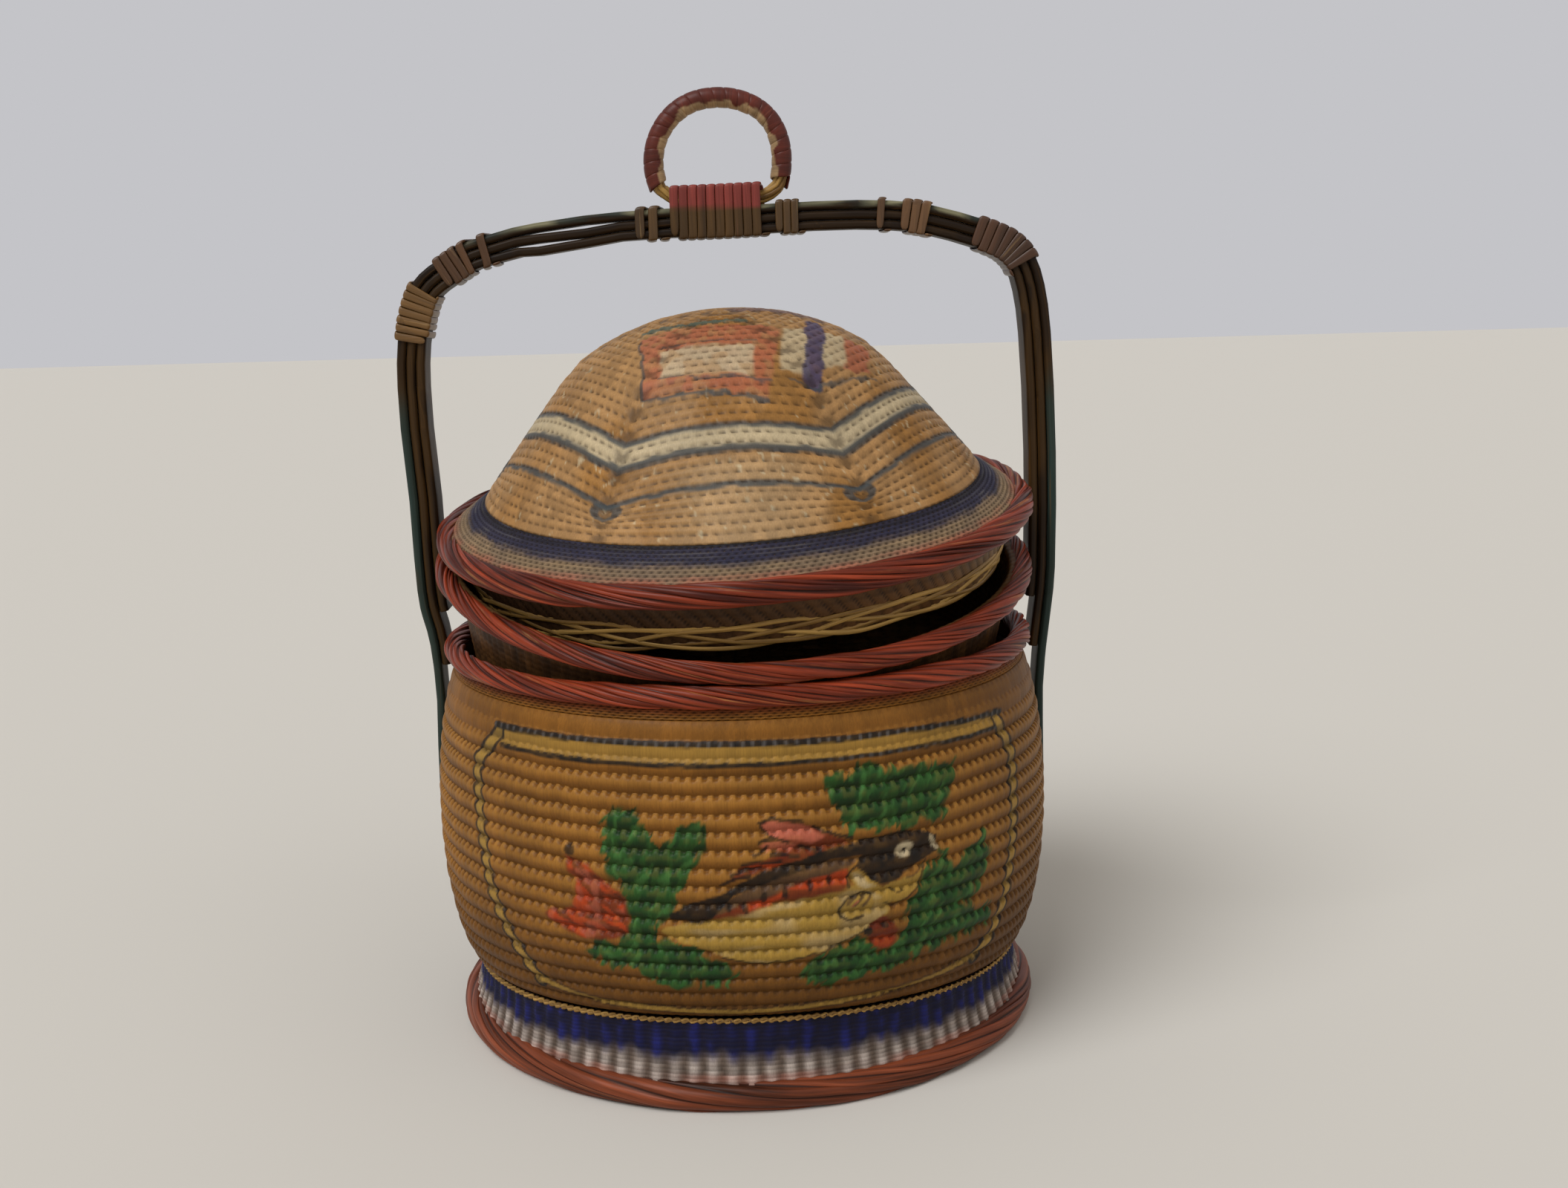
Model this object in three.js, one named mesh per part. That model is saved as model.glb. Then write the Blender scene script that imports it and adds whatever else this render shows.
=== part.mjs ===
// Lidded carrying basket of woven bamboo and cane: foot, body, lift-out tray, domed lid, hoop handle with a finger ring.
// Millimetres, +Z up, front towards -Y, foot on Z = 0.
import * as THREE from 'three';

const N = 48;                    // steps round every coaxial piece, shared so that their facets line up
const SHIFT = new THREE.Vector3(1.555, 0.0, 0.0);   // moves the axis so that the box is centred on the origin

// Driving sizes: radii step out from or in from the mouth, heights stack up from the floor, so that nested pieces keep their fit
const OCT = Math.cos(Math.PI / 8);                 // distance to the flats of an eight-sided rim, as a share of its radius
const MOUTH = { R: 177.2, r: 6.3 };
const BELLY = { R: MOUTH.R + 14.2 };
const WAIST = { R: MOUTH.R - 6.4, gap: 4.6, braid: 2.0, lift: 5.0 };
const FOOT = { R: WAIST.R + 4.7, r: 8.5 };
const SKIRT = { height: 27.0, wall: 3.0, seat: 0.9 };
const BODY = { height: 176.0, wall: 4.4, band: 5.9, ribs: 9, groove: 1.3 };   // a rib is two rows of the weave
const TRAY = { R: MOUTH.R + 2.2, r: 6.2, x: -1.0, tx: 9.5 * Math.PI / 180, ty: 0.03, warp: 4.0, depth: 68.0, wall: 2.4 };
const LID = { R: TRAY.R - 1.1, r: 7.2, tx: 0.1245, ty: -0.0446, brim: 25.0, rise: 21.0, dome: 103.7, wall: 3.6, collar: 34.0 };
const HANDLE = { y: 22.0, width: 24.0, t: 5.4, gap: 0.6, over: 62.0 };
const LASH = { leftDrop: 74.5, leftIn: 23.5, smallIn: 107.9, topIn: 91.9, cornerIn: 44.5, th: 1.7 };   // where the lashings start, below the bar or in from the hoop's reach
const GRIP = { left: 54.0, chord: 32.2, right: 31.8, pitch: 5.6, th: 1.8 };                           // where the grip's windings start, out from the middle of the bar
const RING = { r: 4.5, th: 1.2 };
const SEAT = 0.5;                                  // space left between pieces that rest against each other

// Heights that follow from the sizes
SKIRT.z = 2 * FOOT.r * OCT + SKIRT.seat;
WAIST.z = SKIRT.z + SKIRT.height + WAIST.gap;
const NECK = { R: MOUTH.R + 1.8, z: WAIST.z + BODY.height };
MOUTH.z = NECK.z + BODY.band + 2 * SEAT + MOUTH.r * OCT;
TRAY.z = MOUTH.z + (MOUTH.r + TRAY.r) * OCT + TRAY.R * Math.sin(TRAY.tx) + TRAY.warp + 2.2 * SEAT;
LID.z = TRAY.z + (TRAY.r + LID.r) * OCT + LID.R * Math.hypot(TRAY.tx - LID.tx, TRAY.ty - LID.ty) + 7.6 * SEAT;
const BAR = { z: LID.z + LID.rise + LID.dome + HANDLE.over };

// Finishes
const mat = (hex, rough = 0.8) => new THREE.MeshStandardMaterial({ color: hex, roughness: rough, metalness: 0 });
const RED = mat(0x8c4a34);
const TAN = mat(0x9a7444);
const BROWN = mat(0x6b4a2c);
const DARK = mat(0x3a2a20);
const BLUE = mat(0x39406e);
const STRAW = mat(0xb59a68);
const BAMBOO = mat(0x5f4a33);
const GREEN = mat(0x3c4638);
const CANE = mat(0x8a6a44);
const WRAP = mat(0x6e2f2a);

const group = new THREE.Group();
group.name = 'carrying_basket';

/** Turns a list of points and triangles into a mesh that faces out. */
function solid(name, pts, tris, material, matrix) {
  const p = pts.map((q) => (matrix ? q.clone().applyMatrix4(matrix) : q.clone()).add(SHIFT));
  let vol = 0;
  for (const [a, b, c] of tris) vol += p[a].dot(new THREE.Vector3().crossVectors(p[b], p[c]));
  const index = tris.flatMap(([a, b, c]) => (vol < 0 ? [a, c, b] : [a, b, c]));
  const geo = new THREE.BufferGeometry();
  geo.setAttribute('position', new THREE.Float32BufferAttribute(p.flatMap((q) => [q.x, q.y, q.z]), 3));
  geo.setIndex(index);
  geo.computeVertexNormals();
  const mesh = new THREE.Mesh(geo, material);
  mesh.name = name;
  group.add(mesh);
  return mesh;
}

/** Closed profile [r, z] turned once round Z; warp(angle, r, z) returns the change in height. A point on the axis is a pole. */
function turned(name, profile, material, { matrix, warp } = {}) {
  const pts = [], tris = [], rows = [];
  for (const [r, z] of profile) {
    const row = [];
    for (let i = 0; i < (r === 0 ? 1 : N); i++) {
      const a = (2 * Math.PI * i) / N;
      pts.push(new THREE.Vector3(r * Math.cos(a), r * Math.sin(a), z + (warp ? warp(a, r, z) : 0)));
      row.push(pts.length - 1);
    }
    rows.push(row);
  }
  for (let k = 0; k < rows.length; k++) {
    const A = rows[k], B = rows[(k + 1) % rows.length];
    if (A.length === 1 && B.length === 1) continue;
    for (let i = 0; i < N; i++) {
      const j = (i + 1) % N;
      if (A.length === 1) tris.push([A[0], B[i], B[j]]);
      else if (B.length === 1) tris.push([A[i], B[0], A[j]]);
      else tris.push([A[i], B[i], B[j]], [A[i], B[j], A[j]]);
    }
  }
  return solid(name, pts, tris, material, matrix);
}

/** Ring of round section with a flat lowest face. */
function hoop(name, R, r, z, material, { sides = 8, matrix, warp } = {}) {
  const profile = [];
  for (let k = 0; k < sides; k++) {
    const a = -Math.PI / 2 + Math.PI / sides + (2 * Math.PI * k) / sides;
    profile.push([R + r * Math.cos(a), z + r * Math.sin(a)]);
  }
  return turned(name, profile, material, { matrix, warp });
}

/** Skins a run of equal rings of points; open runs get flat ends. */
function skinned(name, rings, material, closed = false) {
  const m = rings[0].length, pts = rings.flat(), tris = [];
  const last = closed ? rings.length : rings.length - 1;
  for (let i = 0; i < last; i++) {
    const a = i * m, b = ((i + 1) % rings.length) * m;
    for (let k = 0; k < m; k++) {
      const l = (k + 1) % m;
      tris.push([a + k, b + k, b + l], [a + k, b + l, a + l]);
    }
  }
  if (!closed) {
    const e = (rings.length - 1) * m;
    for (let k = 1; k < m - 1; k++) tris.push([0, k, k + 1], [e, e + k + 1, e + k]);
  }
  return solid(name, pts, tris, material);
}

const smooth = (a, b, x) => { const t = Math.min(1, Math.max(0, (x - a) / (b - a))); return t * t * (3 - 2 * t); };
const bump = (x, lo, hi) => (x <= lo || x >= hi ? 0 : Math.sin((Math.PI * (x - lo)) / (hi - lo)) ** 2);

/** Line of [r, z] points moved `wall` inwards, square to the line; its first point keeps its height and one on the axis stays there. */
function lining(line, wall) {
  return line.map(([r, z], i) => {
    if (i === 0) return [r - wall, z];
    if (r === 0) return [0, z - wall];
    const [r0, z0] = line[i - 1], [r1, z1] = line[Math.min(i + 1, line.length - 1)], d = Math.hypot(r1 - r0, z1 - z0);
    return [r - (wall * (z1 - z0)) / d, z + (wall * (r1 - r0)) / d];
  });
}
const inward = (line, wall) => line.map(([r, z]) => [r - wall, z]);
/** Radius of a line of [r, z] points at height z. */
function radiusAt(line, z) {
  const i = Math.max(1, line.findIndex((q) => q[1] >= z)), [r0, z0] = line[i - 1], [r1, z1] = line[i];
  return r0 + ((r1 - r0) * (z - z0)) / (z1 - z0);
}
/** The same line with ribs of equal length: the crests lie on the line and the grooves between them lie inside it. */
function ribbed(line, ribs, groove) {
  const runs = line.map((_, i) => line.slice(1, i + 1).reduce((sum, q, k) => sum + Math.hypot(q[0] - line[k][0], q[1] - line[k][1]), 0));
  return Array.from({ length: 2 * ribs + 1 }, (_, i) => {
    const run = (runs.at(-1) * i) / (2 * ribs), k = Math.max(1, runs.findIndex((d) => d >= run - 1e-9));
    const f = (run - runs[k - 1]) / (runs[k] - runs[k - 1]), inEnd = i > 0 && i < 2 * ribs;
    return [line[k - 1][0] + f * (line[k][0] - line[k - 1][0]) - (inEnd && i % 2 === 0 ? groove : 0), line[k - 1][1] + f * (line[k][1] - line[k - 1][1])];
  });
}

// Foot and body: the waist is a little higher at front and back than at the sides
const sag = (a, r, z) => -WAIST.lift * Math.min(1, r / WAIST.R) ** 2 * Math.cos(2 * a) * smooth(SKIRT.z, WAIST.z - 6, z) * (1 - smooth(WAIST.z + 12, WAIST.z + 82, z));

hoop('foot_rim', FOOT.R, FOOT.r, FOOT.r * OCT, RED);
const skirt = [0, 0.27, 0.57, 1].map((s) => [WAIST.R + (FOOT.R + SEAT - WAIST.R) * (1 - s) ** 2.4, SKIRT.z + s * SKIRT.height]);
turned('foot_skirt', [...skirt, ...inward(skirt, SKIRT.wall).reverse()], BLUE, { warp: sag });
hoop('waist_braid', WAIST.R + 0.6, WAIST.braid, WAIST.z - WAIST.gap / 2, STRAW, { sides: 6, warp: sag });
// Bulge of the wall: [share of its height, share of the way out from waist or neck to the belly]
const BULGE = [[0, 0], [0.056, 0.352], [0.158, 0.67], [0.294, 0.907], [0.431, 1], [0.573, 0.992], [0.703, 0.863], [0.811, 0.661], [0.931, 0.339], [1, 0]];
const wall = BULGE.map(([s, f]) => {
  const base = s < 0.5 ? WAIST.R + 2.4 : NECK.R;
  return [base + f * (BELLY.R - base), WAIST.z + s * BODY.height];
});
const within = inward(wall, BODY.wall);
turned('body_wall', [...ribbed(wall, BODY.ribs, BODY.groove), ...within.filter((_, i) => [0, 1, 2, 4, 7, 9].includes(i)).reverse()], TAN, { warp: sag });
const floorLow = WAIST.z + 2.4, floorTop = floorLow + 3;
turned('body_floor', [[0, floorLow], [radiusAt(within, floorLow) - 1.4 * SEAT, floorLow], [radiusAt(within, floorTop) - 1.4 * SEAT, floorTop], [0, floorTop]], BROWN, { warp: sag });
const band = [[NECK.R - 1.0, NECK.z + SEAT], [NECK.R - 1.0, NECK.z + SEAT + BODY.band]];
turned('neck_band', [...band, ...inward(band, BODY.wall).reverse()], BROWN);
hoop('body_rim', MOUTH.R, MOUTH.r, MOUTH.z, RED);

// Tray: sits askew in the mouth, low at the front
const tilt = (c, tx, ty) => new THREE.Matrix4().makeRotationFromEuler(new THREE.Euler(tx, ty, 0, 'YXZ')).setPosition(c.x, c.y, c.z);
const trayAt = { matrix: tilt(new THREE.Vector3(TRAY.x, 0, TRAY.z), TRAY.tx, TRAY.ty), warp: (a, r, z) => TRAY.warp * Math.cos(2 * a) * smooth(-TRAY.depth, 0, z) };
hoop('tray_rim', TRAY.R, TRAY.r, 0, RED, trayAt);
const bore = MOUTH.R - MOUTH.r;
const trayLine = [[TRAY.R - TRAY.r, 2.5], [TRAY.R - TRAY.r - 0.3, -4], [bore - 1.1, -10], [bore - 3.3, -28], [bore - 10.3, -TRAY.depth]];
const trayWithin = inward(trayLine, TRAY.wall);
turned('tray_wall', [...trayLine, ...[...trayWithin].reverse()], DARK, trayAt);
const trayFoot = trayWithin[4][0];
turned('tray_floor', [[0, -TRAY.depth], [trayFoot - SEAT, -TRAY.depth], [trayFoot, -TRAY.depth + 3], [0, -TRAY.depth + 3]], BROWN, trayAt);

// Lid: rim, flange and dome above, collar and braided edge below
const lidAt = { matrix: tilt(new THREE.Vector3(0, 0, LID.z), LID.tx, LID.ty) };
hoop('lid_rim', LID.R, LID.r, 0, RED, lidAt);
const domeR = LID.R - LID.brim;
turned('lid_flange', [[LID.R - 0.79 * LID.r, 0.625 * LID.r], [LID.R - 0.72 * LID.r, 0.96 * LID.r], [domeR + 0.3, LID.rise - 0.4], [domeR - 0.9, LID.rise - 2.7]], BLUE, lidAt);
// Dome: [share of its radius, share of its height]
const dome = [[1, 0], [0.962, 0.077], [0.877, 0.231], [0.786, 0.4], [0.662, 0.622], [0.574, 0.752], [0.489, 0.829], [0.404, 0.887], [0.2935, 0.945], [0.163, 0.984], [0, 1]]
  .map(([r, h]) => [r * domeR, LID.rise + h * LID.dome]);
const domeWithin = lining(dome, LID.wall).filter((_, i) => ![1, 3, 6, 8].includes(i));
turned('lid_dome', [...dome, ...domeWithin.reverse()], TAN, lidAt);
const collarTop = LID.R - LID.r * OCT - SEAT;
const collar = [[collarTop, 1.0], [collarTop - 1.0, -0.26 * LID.collar], [collarTop - 8.4, -LID.collar]];
turned('lid_collar', [...collar, ...inward(collar, TRAY.wall).reverse()], DARK, lidAt);
hoop('lid_braid', collarTop - 9.5, 1.9, -LID.collar - 2.2, STRAW, { ...lidAt, sides: 6 });

// Handle: outer face of the hoop in its own upright plane, up the left side, over the bar and down the right side.
// On the body its points are [out from the seat, share of the body's height], above it [out from the reach, drop below the bar].
const seat = BELLY.R + HANDLE.t, reach = LID.R + LID.r + 3 * HANDLE.t + 2 * HANDLE.gap;
const onBody = (side) => ([out, s]) => new THREE.Vector3(side * (seat + out), HANDLE.y, WAIST.z + s * BODY.height);
const free = (side) => ([out, drop]) => new THREE.Vector3(side * (reach + out), HANDLE.y, BAR.z - drop);
const LEG = [[-5.4, 0.135], [-3.0, 0.215], [-1.0, 0.294], [0.1, 0.431], [0.0, 0.573]];
const LEFT = [
  [-4.9, 265.3], [-0.5, 245.3], [1.0, 226.3], [1.5, 201.3], [2.0, 176.3], [3.7, 151.3], [4.8, 121.3], [4.4, 91.3],
  [1.9, 71.3], [-2.2, 55.3], [-7.8, 42.5], [-14.6, 35.0], [-26.0, 27.4], [-40.8, 18.6], [-55.5, 14.0], [-74.0, 9.3], [-96.0, 6.0],
];
const RIGHT = [
  [-100.9, -1.0], [-80.9, 1.4], [-54.9, 8.1], [-37.9, 14.0], [-24.9, 20.3], [-15.6, 28.8], [-9.7, 39.3], [-5.9, 52.3],
  [-3.1, 69.3], [-0.9, 97.3], [0.5, 125.3], [1.4, 154.3], [1.8, 182.3], [1.5, 209.3], [0.7, 239.3], [-2.1, 263.3],
];
const OUTER_FACE = [
  ...[...LEG, [-0.6, 0.703], [-1.4, 0.817], [-0.8, 0.942]].map(onBody(-1)),
  ...LEFT.map(free(-1)),
  ...[[-80, -2.9], [-45, -0.9], [0, 0], [47, 1.5], [76, 1.9]].map(([x, up]) => new THREE.Vector3(x, HANDLE.y, BAR.z + up)),
  ...RIGHT.map(free(1)),
  ...[...LEG, [-0.4, 0.703], [-0.4, 0.817], [1.2, 0.942]].reverse().map(onBody(1)),
];
const face = new THREE.CatmullRomCurve3(OUTER_FACE, false, 'centripetal');
face.arcLengthDivisions = 2000;
const LENGTH = face.getLength();

/** Point `depth` inside the outer face at run u (0 to 1), with the inward normal and the way along. */
function along(u, depth) {
  const p = face.getPointAt(u), t = face.getTangentAt(u);
  t.y = 0; t.normalize();
  const n = new THREE.Vector3(t.z, 0, -t.x);
  return { p: p.clone().addScaledVector(n, depth), n, t };
}
/** Run at which the outer face first passes a test, to place strip ends and lashings. */
function runWhere(test, from = 0, to = 1) {
  for (let i = 0; i <= 4000; i++) { const u = from + ((to - from) * i) / 4000; if (test(face.getPointAt(u))) return u; }
  return to;
}
// The layers part a little on the left of the bar
const onBar = (z) => z > BAR.z - 61;
const gapOuter = (x, z) => HANDLE.gap + (onBar(z) ? 2.0 * bump(x, 71 - reach, -GRIP.left - 6.5) : 0);
const gapInner = (x, z) => HANDLE.gap + (onBar(z) ? 1.6 * bump(x, 61 - reach, 113 - reach) : 0);
const depths = (u) => {
  const q = face.getPointAt(u), g1 = gapOuter(q.x, q.z), g2 = gapInner(q.x, q.z), t = HANDLE.t;
  return { outer: t / 2, middle: 1.5 * t + g1, inner: 2.5 * t + g1 + g2, total: 3 * t + g1 + g2 };
};
const uMid = runWhere((p) => p.x > 0);
const leftAt = (z) => runWhere((p) => p.z >= z, 0, uMid);
const rightRun = (z) => { for (let i = 0; i <= 4000; i++) { const u = 1 - ((1 - uMid) * i) / 4000; if (face.getPointAt(u).z >= z) return u; } return uMid; };
const ENDS = { middle: [leftAt(NECK.z - 6), rightRun(NECK.z - 6)], inner: [leftAt(MOUTH.z + 13), rightRun(MOUTH.z + 13)] };
// Runs shared by the three strips: close together in the bends, far apart where the hoop is straight
const RUNS = [0];
for (let i = 1, mark = face.getTangentAt(0), at = 0; i < 2000; i++) {
  const u = i / 2000, t = face.getTangentAt(u);
  if (t.angleTo(mark) * (u - at) * LENGTH > 1.0 || (u - at) * LENGTH > 45) { RUNS.push(u); mark = t; at = u; }
}
RUNS.push(1, ...ENDS.middle, ...ENDS.inner);
RUNS.sort((a, b) => a - b);
/** Bent strip of rounded-off rectangular section between two runs. */
function strip(name, layer, u0, u1, material) {
  const runs = RUNS.filter((u) => u >= u0 && u <= u1);
  const rings = [], a = HANDLE.t / 2, b = HANDLE.width / 2, c = 1.4;
  const section = [[-a, -b + c], [-a, b - c], [-a + c, b], [a - c, b], [a, b - c], [a, -b + c], [a - c, -b], [-a + c, -b]];
  for (const u of runs) {
    const { p, n } = along(u, depths(u)[layer]);
    rings.push(section.map(([s, w]) => p.clone().addScaledVector(n, s).add(new THREE.Vector3(0, w, 0))));
  }
  return skinned(name, rings, material);
}
strip('handle_outer', 'outer', 0, 1, GREEN);
strip('handle_middle', 'middle', ...ENDS.middle, BAMBOO);
strip('handle_inner', 'inner', ...ENDS.inner, BAMBOO);

/** Least distance between points of a winding that are about a turn or more apart. */
function leastGap(rings, steps) {
  let least = Infinity;
  for (let i = 0; i < rings.length; i++) for (let j = i + steps - 1; j < rings.length; j++) {
    for (const a of rings[i]) for (const b of rings[j]) least = Math.min(least, a.distanceTo(b));
  }
  return least;
}

/**
 * Flat cane wound round the handle's layers. turns is a list of runs, one per turn boundary;
 * lift(u) is extra height outside the outer face. Prints the least gap between its own turns.
 */
function winding(name, bounds, { w, th, material, lift = () => 0, steps = 12 }) {
  const clear = 0.35, rings = [];
  const d = clear + th / 2, k = 0.75 * d;
  const turns = bounds.length - 1;
  for (let i = 0; i <= turns * steps; i++) {
    const turn = Math.min(turns - 1, Math.floor(i / steps)), f = (i - turn * steps) / steps;
    const u = bounds[turn] + (bounds[turn + 1] - bounds[turn]) * f;
    const b = HANDLE.width / 2;
    // corner points of one turn: [inner side or outer side, depth past it, across], with the way out from the bundle
    const loop = [
      [1, 0, -b - d, 0, -1], [0, 0, -b - d, 0, -1], [0, -k, -b - k, -0.707, -0.707], [0, -d, -b, -1, 0], [0, -d, 0, -1, 0], [0, -d, b, -1, 0], [0, -k, b + k, -0.707, 0.707],
      [0, 0, b + d, 0, 1], [1, 0, b + d, 0, 1], [1, k, b + k, 0.707, 0.707], [1, d, 0, 1, 0], [1, k, -b - k, 0.707, -0.707],
    ];
    const [inside, past, y, os, oy] = loop[i % steps];
    rings.push([[-1, -1], [1, -1], [1, 1], [-1, 1]].map(([a, o]) => {
      const v = u + (a * w) / 2 / LENGTH;
      const { p } = along(v, (inside ? depths(v).total : -lift(v)) + past + (o * os * th) / 2);
      p.y += y + (o * oy * th) / 2;
      return p;
    }));
  }
  console.log(`${name}: ${turns} turns, least gap ${leastGap(rings, steps).toFixed(2)} mm`);
  return skinned(name, rings, material);
}
const even = (u0, pitch, turns) => Array.from({ length: turns + 1 }, (_, i) => u0 + (i * pitch) / LENGTH);
winding('lash_left_low', even(leftAt(BAR.z - LASH.leftDrop), 5.2, 7), { w: 3.7, th: LASH.th, material: CANE });
const uTop = runWhere((p) => p.x > LASH.leftIn - reach, leftAt(BAR.z - 61), uMid);
winding('lash_left_top', [...even(uTop, 5.4, 3), uTop + 31 / LENGTH, uTop + 36.5 / LENGTH], { w: 4.5, th: LASH.th, material: CANE });
const uSmall = runWhere((p) => p.x > reach - LASH.smallIn, uMid, 1);
winding('lash_right_small', even(uSmall, 5.6, 1), { w: 4.2, th: 1.5, material: CANE });
const uRt = runWhere((p) => p.x > reach - LASH.topIn, uMid, 1);
winding('lash_right_top', even(uRt, 6.0, 3), { w: 5.0, th: LASH.th, material: CANE });
const uRc = runWhere((p) => p.x > reach - LASH.cornerIn, uMid, 1);
winding('lash_right_corner', even(uRc, 6.3, 7), { w: 5.0, th: LASH.th, material: CANE });

// Finger ring: bent hoop whose straight chord lies on the bar, bound in by the grip. Points are [x, height above the bar]
const RING_LINE = [
  [-4, 0.6], [12, 0.7], [22, 0.9], [28.5, 2.5], [32.8, 8.2], [35.0, 18.2], [35.0, 30.2], [31.3, 42.7], [22.8, 53.0], [9.5, 59.5], [-5, 61.2],
  [-19, 58.8], [-31, 51.6], [-40.0, 39.7], [-43.8, 26.7], [-43.2, 14.7], [-40.3, 6.8], [-35.0, 2.2], [-28, 0.6], [-16, 0.5],
].map(([x, up]) => new THREE.Vector3(x, HANDLE.y, BAR.z + RING.r + up));
const ring = new THREE.CatmullRomCurve3(RING_LINE, true, 'centripetal');
ring.arcLengthDivisions = 1000;
const ringLength = ring.getLength();
const ringAt = (u) => { const p = ring.getPointAt(u), t = ring.getTangentAt(u); return { p, t, n: new THREE.Vector3(t.z, 0, -t.x) }; };
const LIFT = 2 * RING.r + 5 * SEAT;   // room for the ring's chord under the grip
{
  const rings = [];
  for (let i = 0; i < 48; i++) {
    const { p, n } = ringAt(i / 48);
    rings.push(Array.from({ length: 8 }, (_, k) => { const a = (2 * Math.PI * (k + 0.5)) / 8; return p.clone().addScaledVector(n, RING.r * Math.cos(a)).add(new THREE.Vector3(0, RING.r * Math.sin(a), 0)); }));
  }
  skinned('ring_hoop', rings, STRAW, true);
}
{
  // Red ribbon round the ring between the two ends of the chord
  const turns = 20, steps = 8, th = RING.th, R = RING.r + 0.45 + th / 2;
  const low = BAR.z + LIFT + 3.7;
  let u0 = 0, u1 = 1;
  for (let i = 0; i <= 1000; i++) { const p = ring.getPointAt(i / 1000); if (p.z > low && p.x > 0) { u0 = i / 1000; break; } }
  for (let i = 1000; i >= 0; i--) { const p = ring.getPointAt(i / 1000); if (p.z > low && p.x < 0) { u1 = i / 1000; break; } }
  const rings = [], pitch = (u1 - u0) / turns, half = pitch / 2 - 0.5 / ringLength;
  for (let i = 0; i <= turns * steps; i++) {
    const u = u0 + (pitch * i) / steps, a = (2 * Math.PI * i) / steps;
    rings.push([[-1, -1], [1, -1], [1, 1], [-1, 1]].map(([s, o]) => {
      const { p, n } = ringAt(u + s * half), r = R / Math.cos(Math.PI / steps) + (o * th) / 2;
      return p.clone().addScaledVector(n, r * Math.cos(a)).add(new THREE.Vector3(0, r * Math.sin(a), 0));
    }));
  }
  console.log(`ring_wrap: ${turns} turns, pitch ${(pitch * ringLength).toFixed(2)}, least gap ${leastGap(rings, steps).toFixed(2)} mm`);
  skinned('ring_wrap', rings, WRAP);
}
// Grip: cane over the bar and the ring's chord, with a few turns round the bar alone on each side
const barAt = (x) => runWhere((p) => p.x > x, leftAt(BAR.z - 31), 1);
winding('grip_binding', even(barAt(-GRIP.chord), GRIP.pitch, 10), { w: 4.8, th: GRIP.th, material: WRAP, lift: () => LIFT });
winding('grip_left', even(barAt(-GRIP.left), 8.2, 2), { w: 4.6, th: GRIP.th, material: CANE });
winding('grip_right', even(barAt(GRIP.right), 4.8, 3), { w: 4.0, th: GRIP.th, material: CANE });

const box = new THREE.Box3().setFromObject(group);
let tris = 0;
group.traverse((o) => { if (o.isMesh) tris += o.geometry.index.count / 3; });
console.log('box', box.min.toArray().map((v) => v.toFixed(2)).join(' '), '|', box.max.toArray().map((v) => v.toFixed(2)).join(' '), '| triangles', tris, '| nodes', group.children.length);

export default group;
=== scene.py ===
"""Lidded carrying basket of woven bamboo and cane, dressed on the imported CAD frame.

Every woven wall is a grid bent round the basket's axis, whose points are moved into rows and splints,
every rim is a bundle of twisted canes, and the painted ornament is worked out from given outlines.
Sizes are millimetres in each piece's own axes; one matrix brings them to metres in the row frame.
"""

from __future__ import annotations

import logging
import math
from dataclasses import dataclass, replace
from enum import Enum
from typing import Callable, Sequence

import bmesh
import bpy
import numpy as np
from mathutils import Matrix, Vector

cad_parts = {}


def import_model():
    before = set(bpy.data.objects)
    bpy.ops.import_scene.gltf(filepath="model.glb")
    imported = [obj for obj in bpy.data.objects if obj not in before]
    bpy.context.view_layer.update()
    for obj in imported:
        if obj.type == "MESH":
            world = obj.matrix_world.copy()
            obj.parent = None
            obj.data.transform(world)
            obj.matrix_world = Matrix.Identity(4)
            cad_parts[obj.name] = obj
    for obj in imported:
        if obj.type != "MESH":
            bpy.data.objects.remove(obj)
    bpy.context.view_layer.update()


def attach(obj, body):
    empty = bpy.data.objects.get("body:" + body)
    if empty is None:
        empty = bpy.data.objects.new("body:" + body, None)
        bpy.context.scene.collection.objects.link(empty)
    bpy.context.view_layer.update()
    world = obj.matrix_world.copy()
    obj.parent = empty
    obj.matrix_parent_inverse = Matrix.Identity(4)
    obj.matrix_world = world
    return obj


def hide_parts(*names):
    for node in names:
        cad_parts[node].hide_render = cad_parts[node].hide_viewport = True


LOG = logging.getLogger("carrying_basket")
MM = 0.001
AXIS_X = 1.555  # the basket's axis in the row frame, mm
PHOTO_WIDTH = 2112  # pixels
END_CORNERS = 12  # most corners of a face that is shaded smooth
WELD = 1e-4  # points closer than this become one, mm
CAD_WELD = 2e-6  # the same for the points of a CAD node, m
FULL_TURN = math.tau - 1e-6  # a wall that goes this far round has no ends
NUDGE = 1e-4  # keeps a point on a row's lower edge in that row
MOTTLE_CELLS = 256  # random values along each side of a mottle's table
TANGENT_REACH = 4.0  # how far each way a profile's direction is measured, mm
INNER_RINGS = 8  # rings of points on a plain inner face
INNER_RISE = 0.2  # how much an inner face follows the upright part of the normal
END_EASE = 3.0  # length over which a wall's relief starts and ends, mm
DISC_CELLS = 128  # random tones along each side of a floor's table
MOTTLE_START = 300  # keeps the bearings in a mottle above 0
TRACE_STEP = 2.0  # step each way over which a hoop's direction is measured, mm
Line = Sequence[tuple[float, float]]
Array = np.ndarray
Bend = Callable[[Array, Array, Array], Array]
# places of the rings in a bold row, from its tucked-in foot to its lip, and how far each stands out
LIP_STEPS = (0.0, 0.07, 0.16, 0.28, 0.42, 0.56, 0.68, 0.79, 0.88, 0.955)
LIP_LIFT = (-1.35, -1.05, -0.6, -0.15, 0.22, 0.45, 0.48, 0.28, -0.12, -0.75)


class Part(Enum):
    """CAD bodies that the pieces ride on."""

    BASKET = "basket"
    TRAY = "tray"
    LID = "lid"


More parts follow.
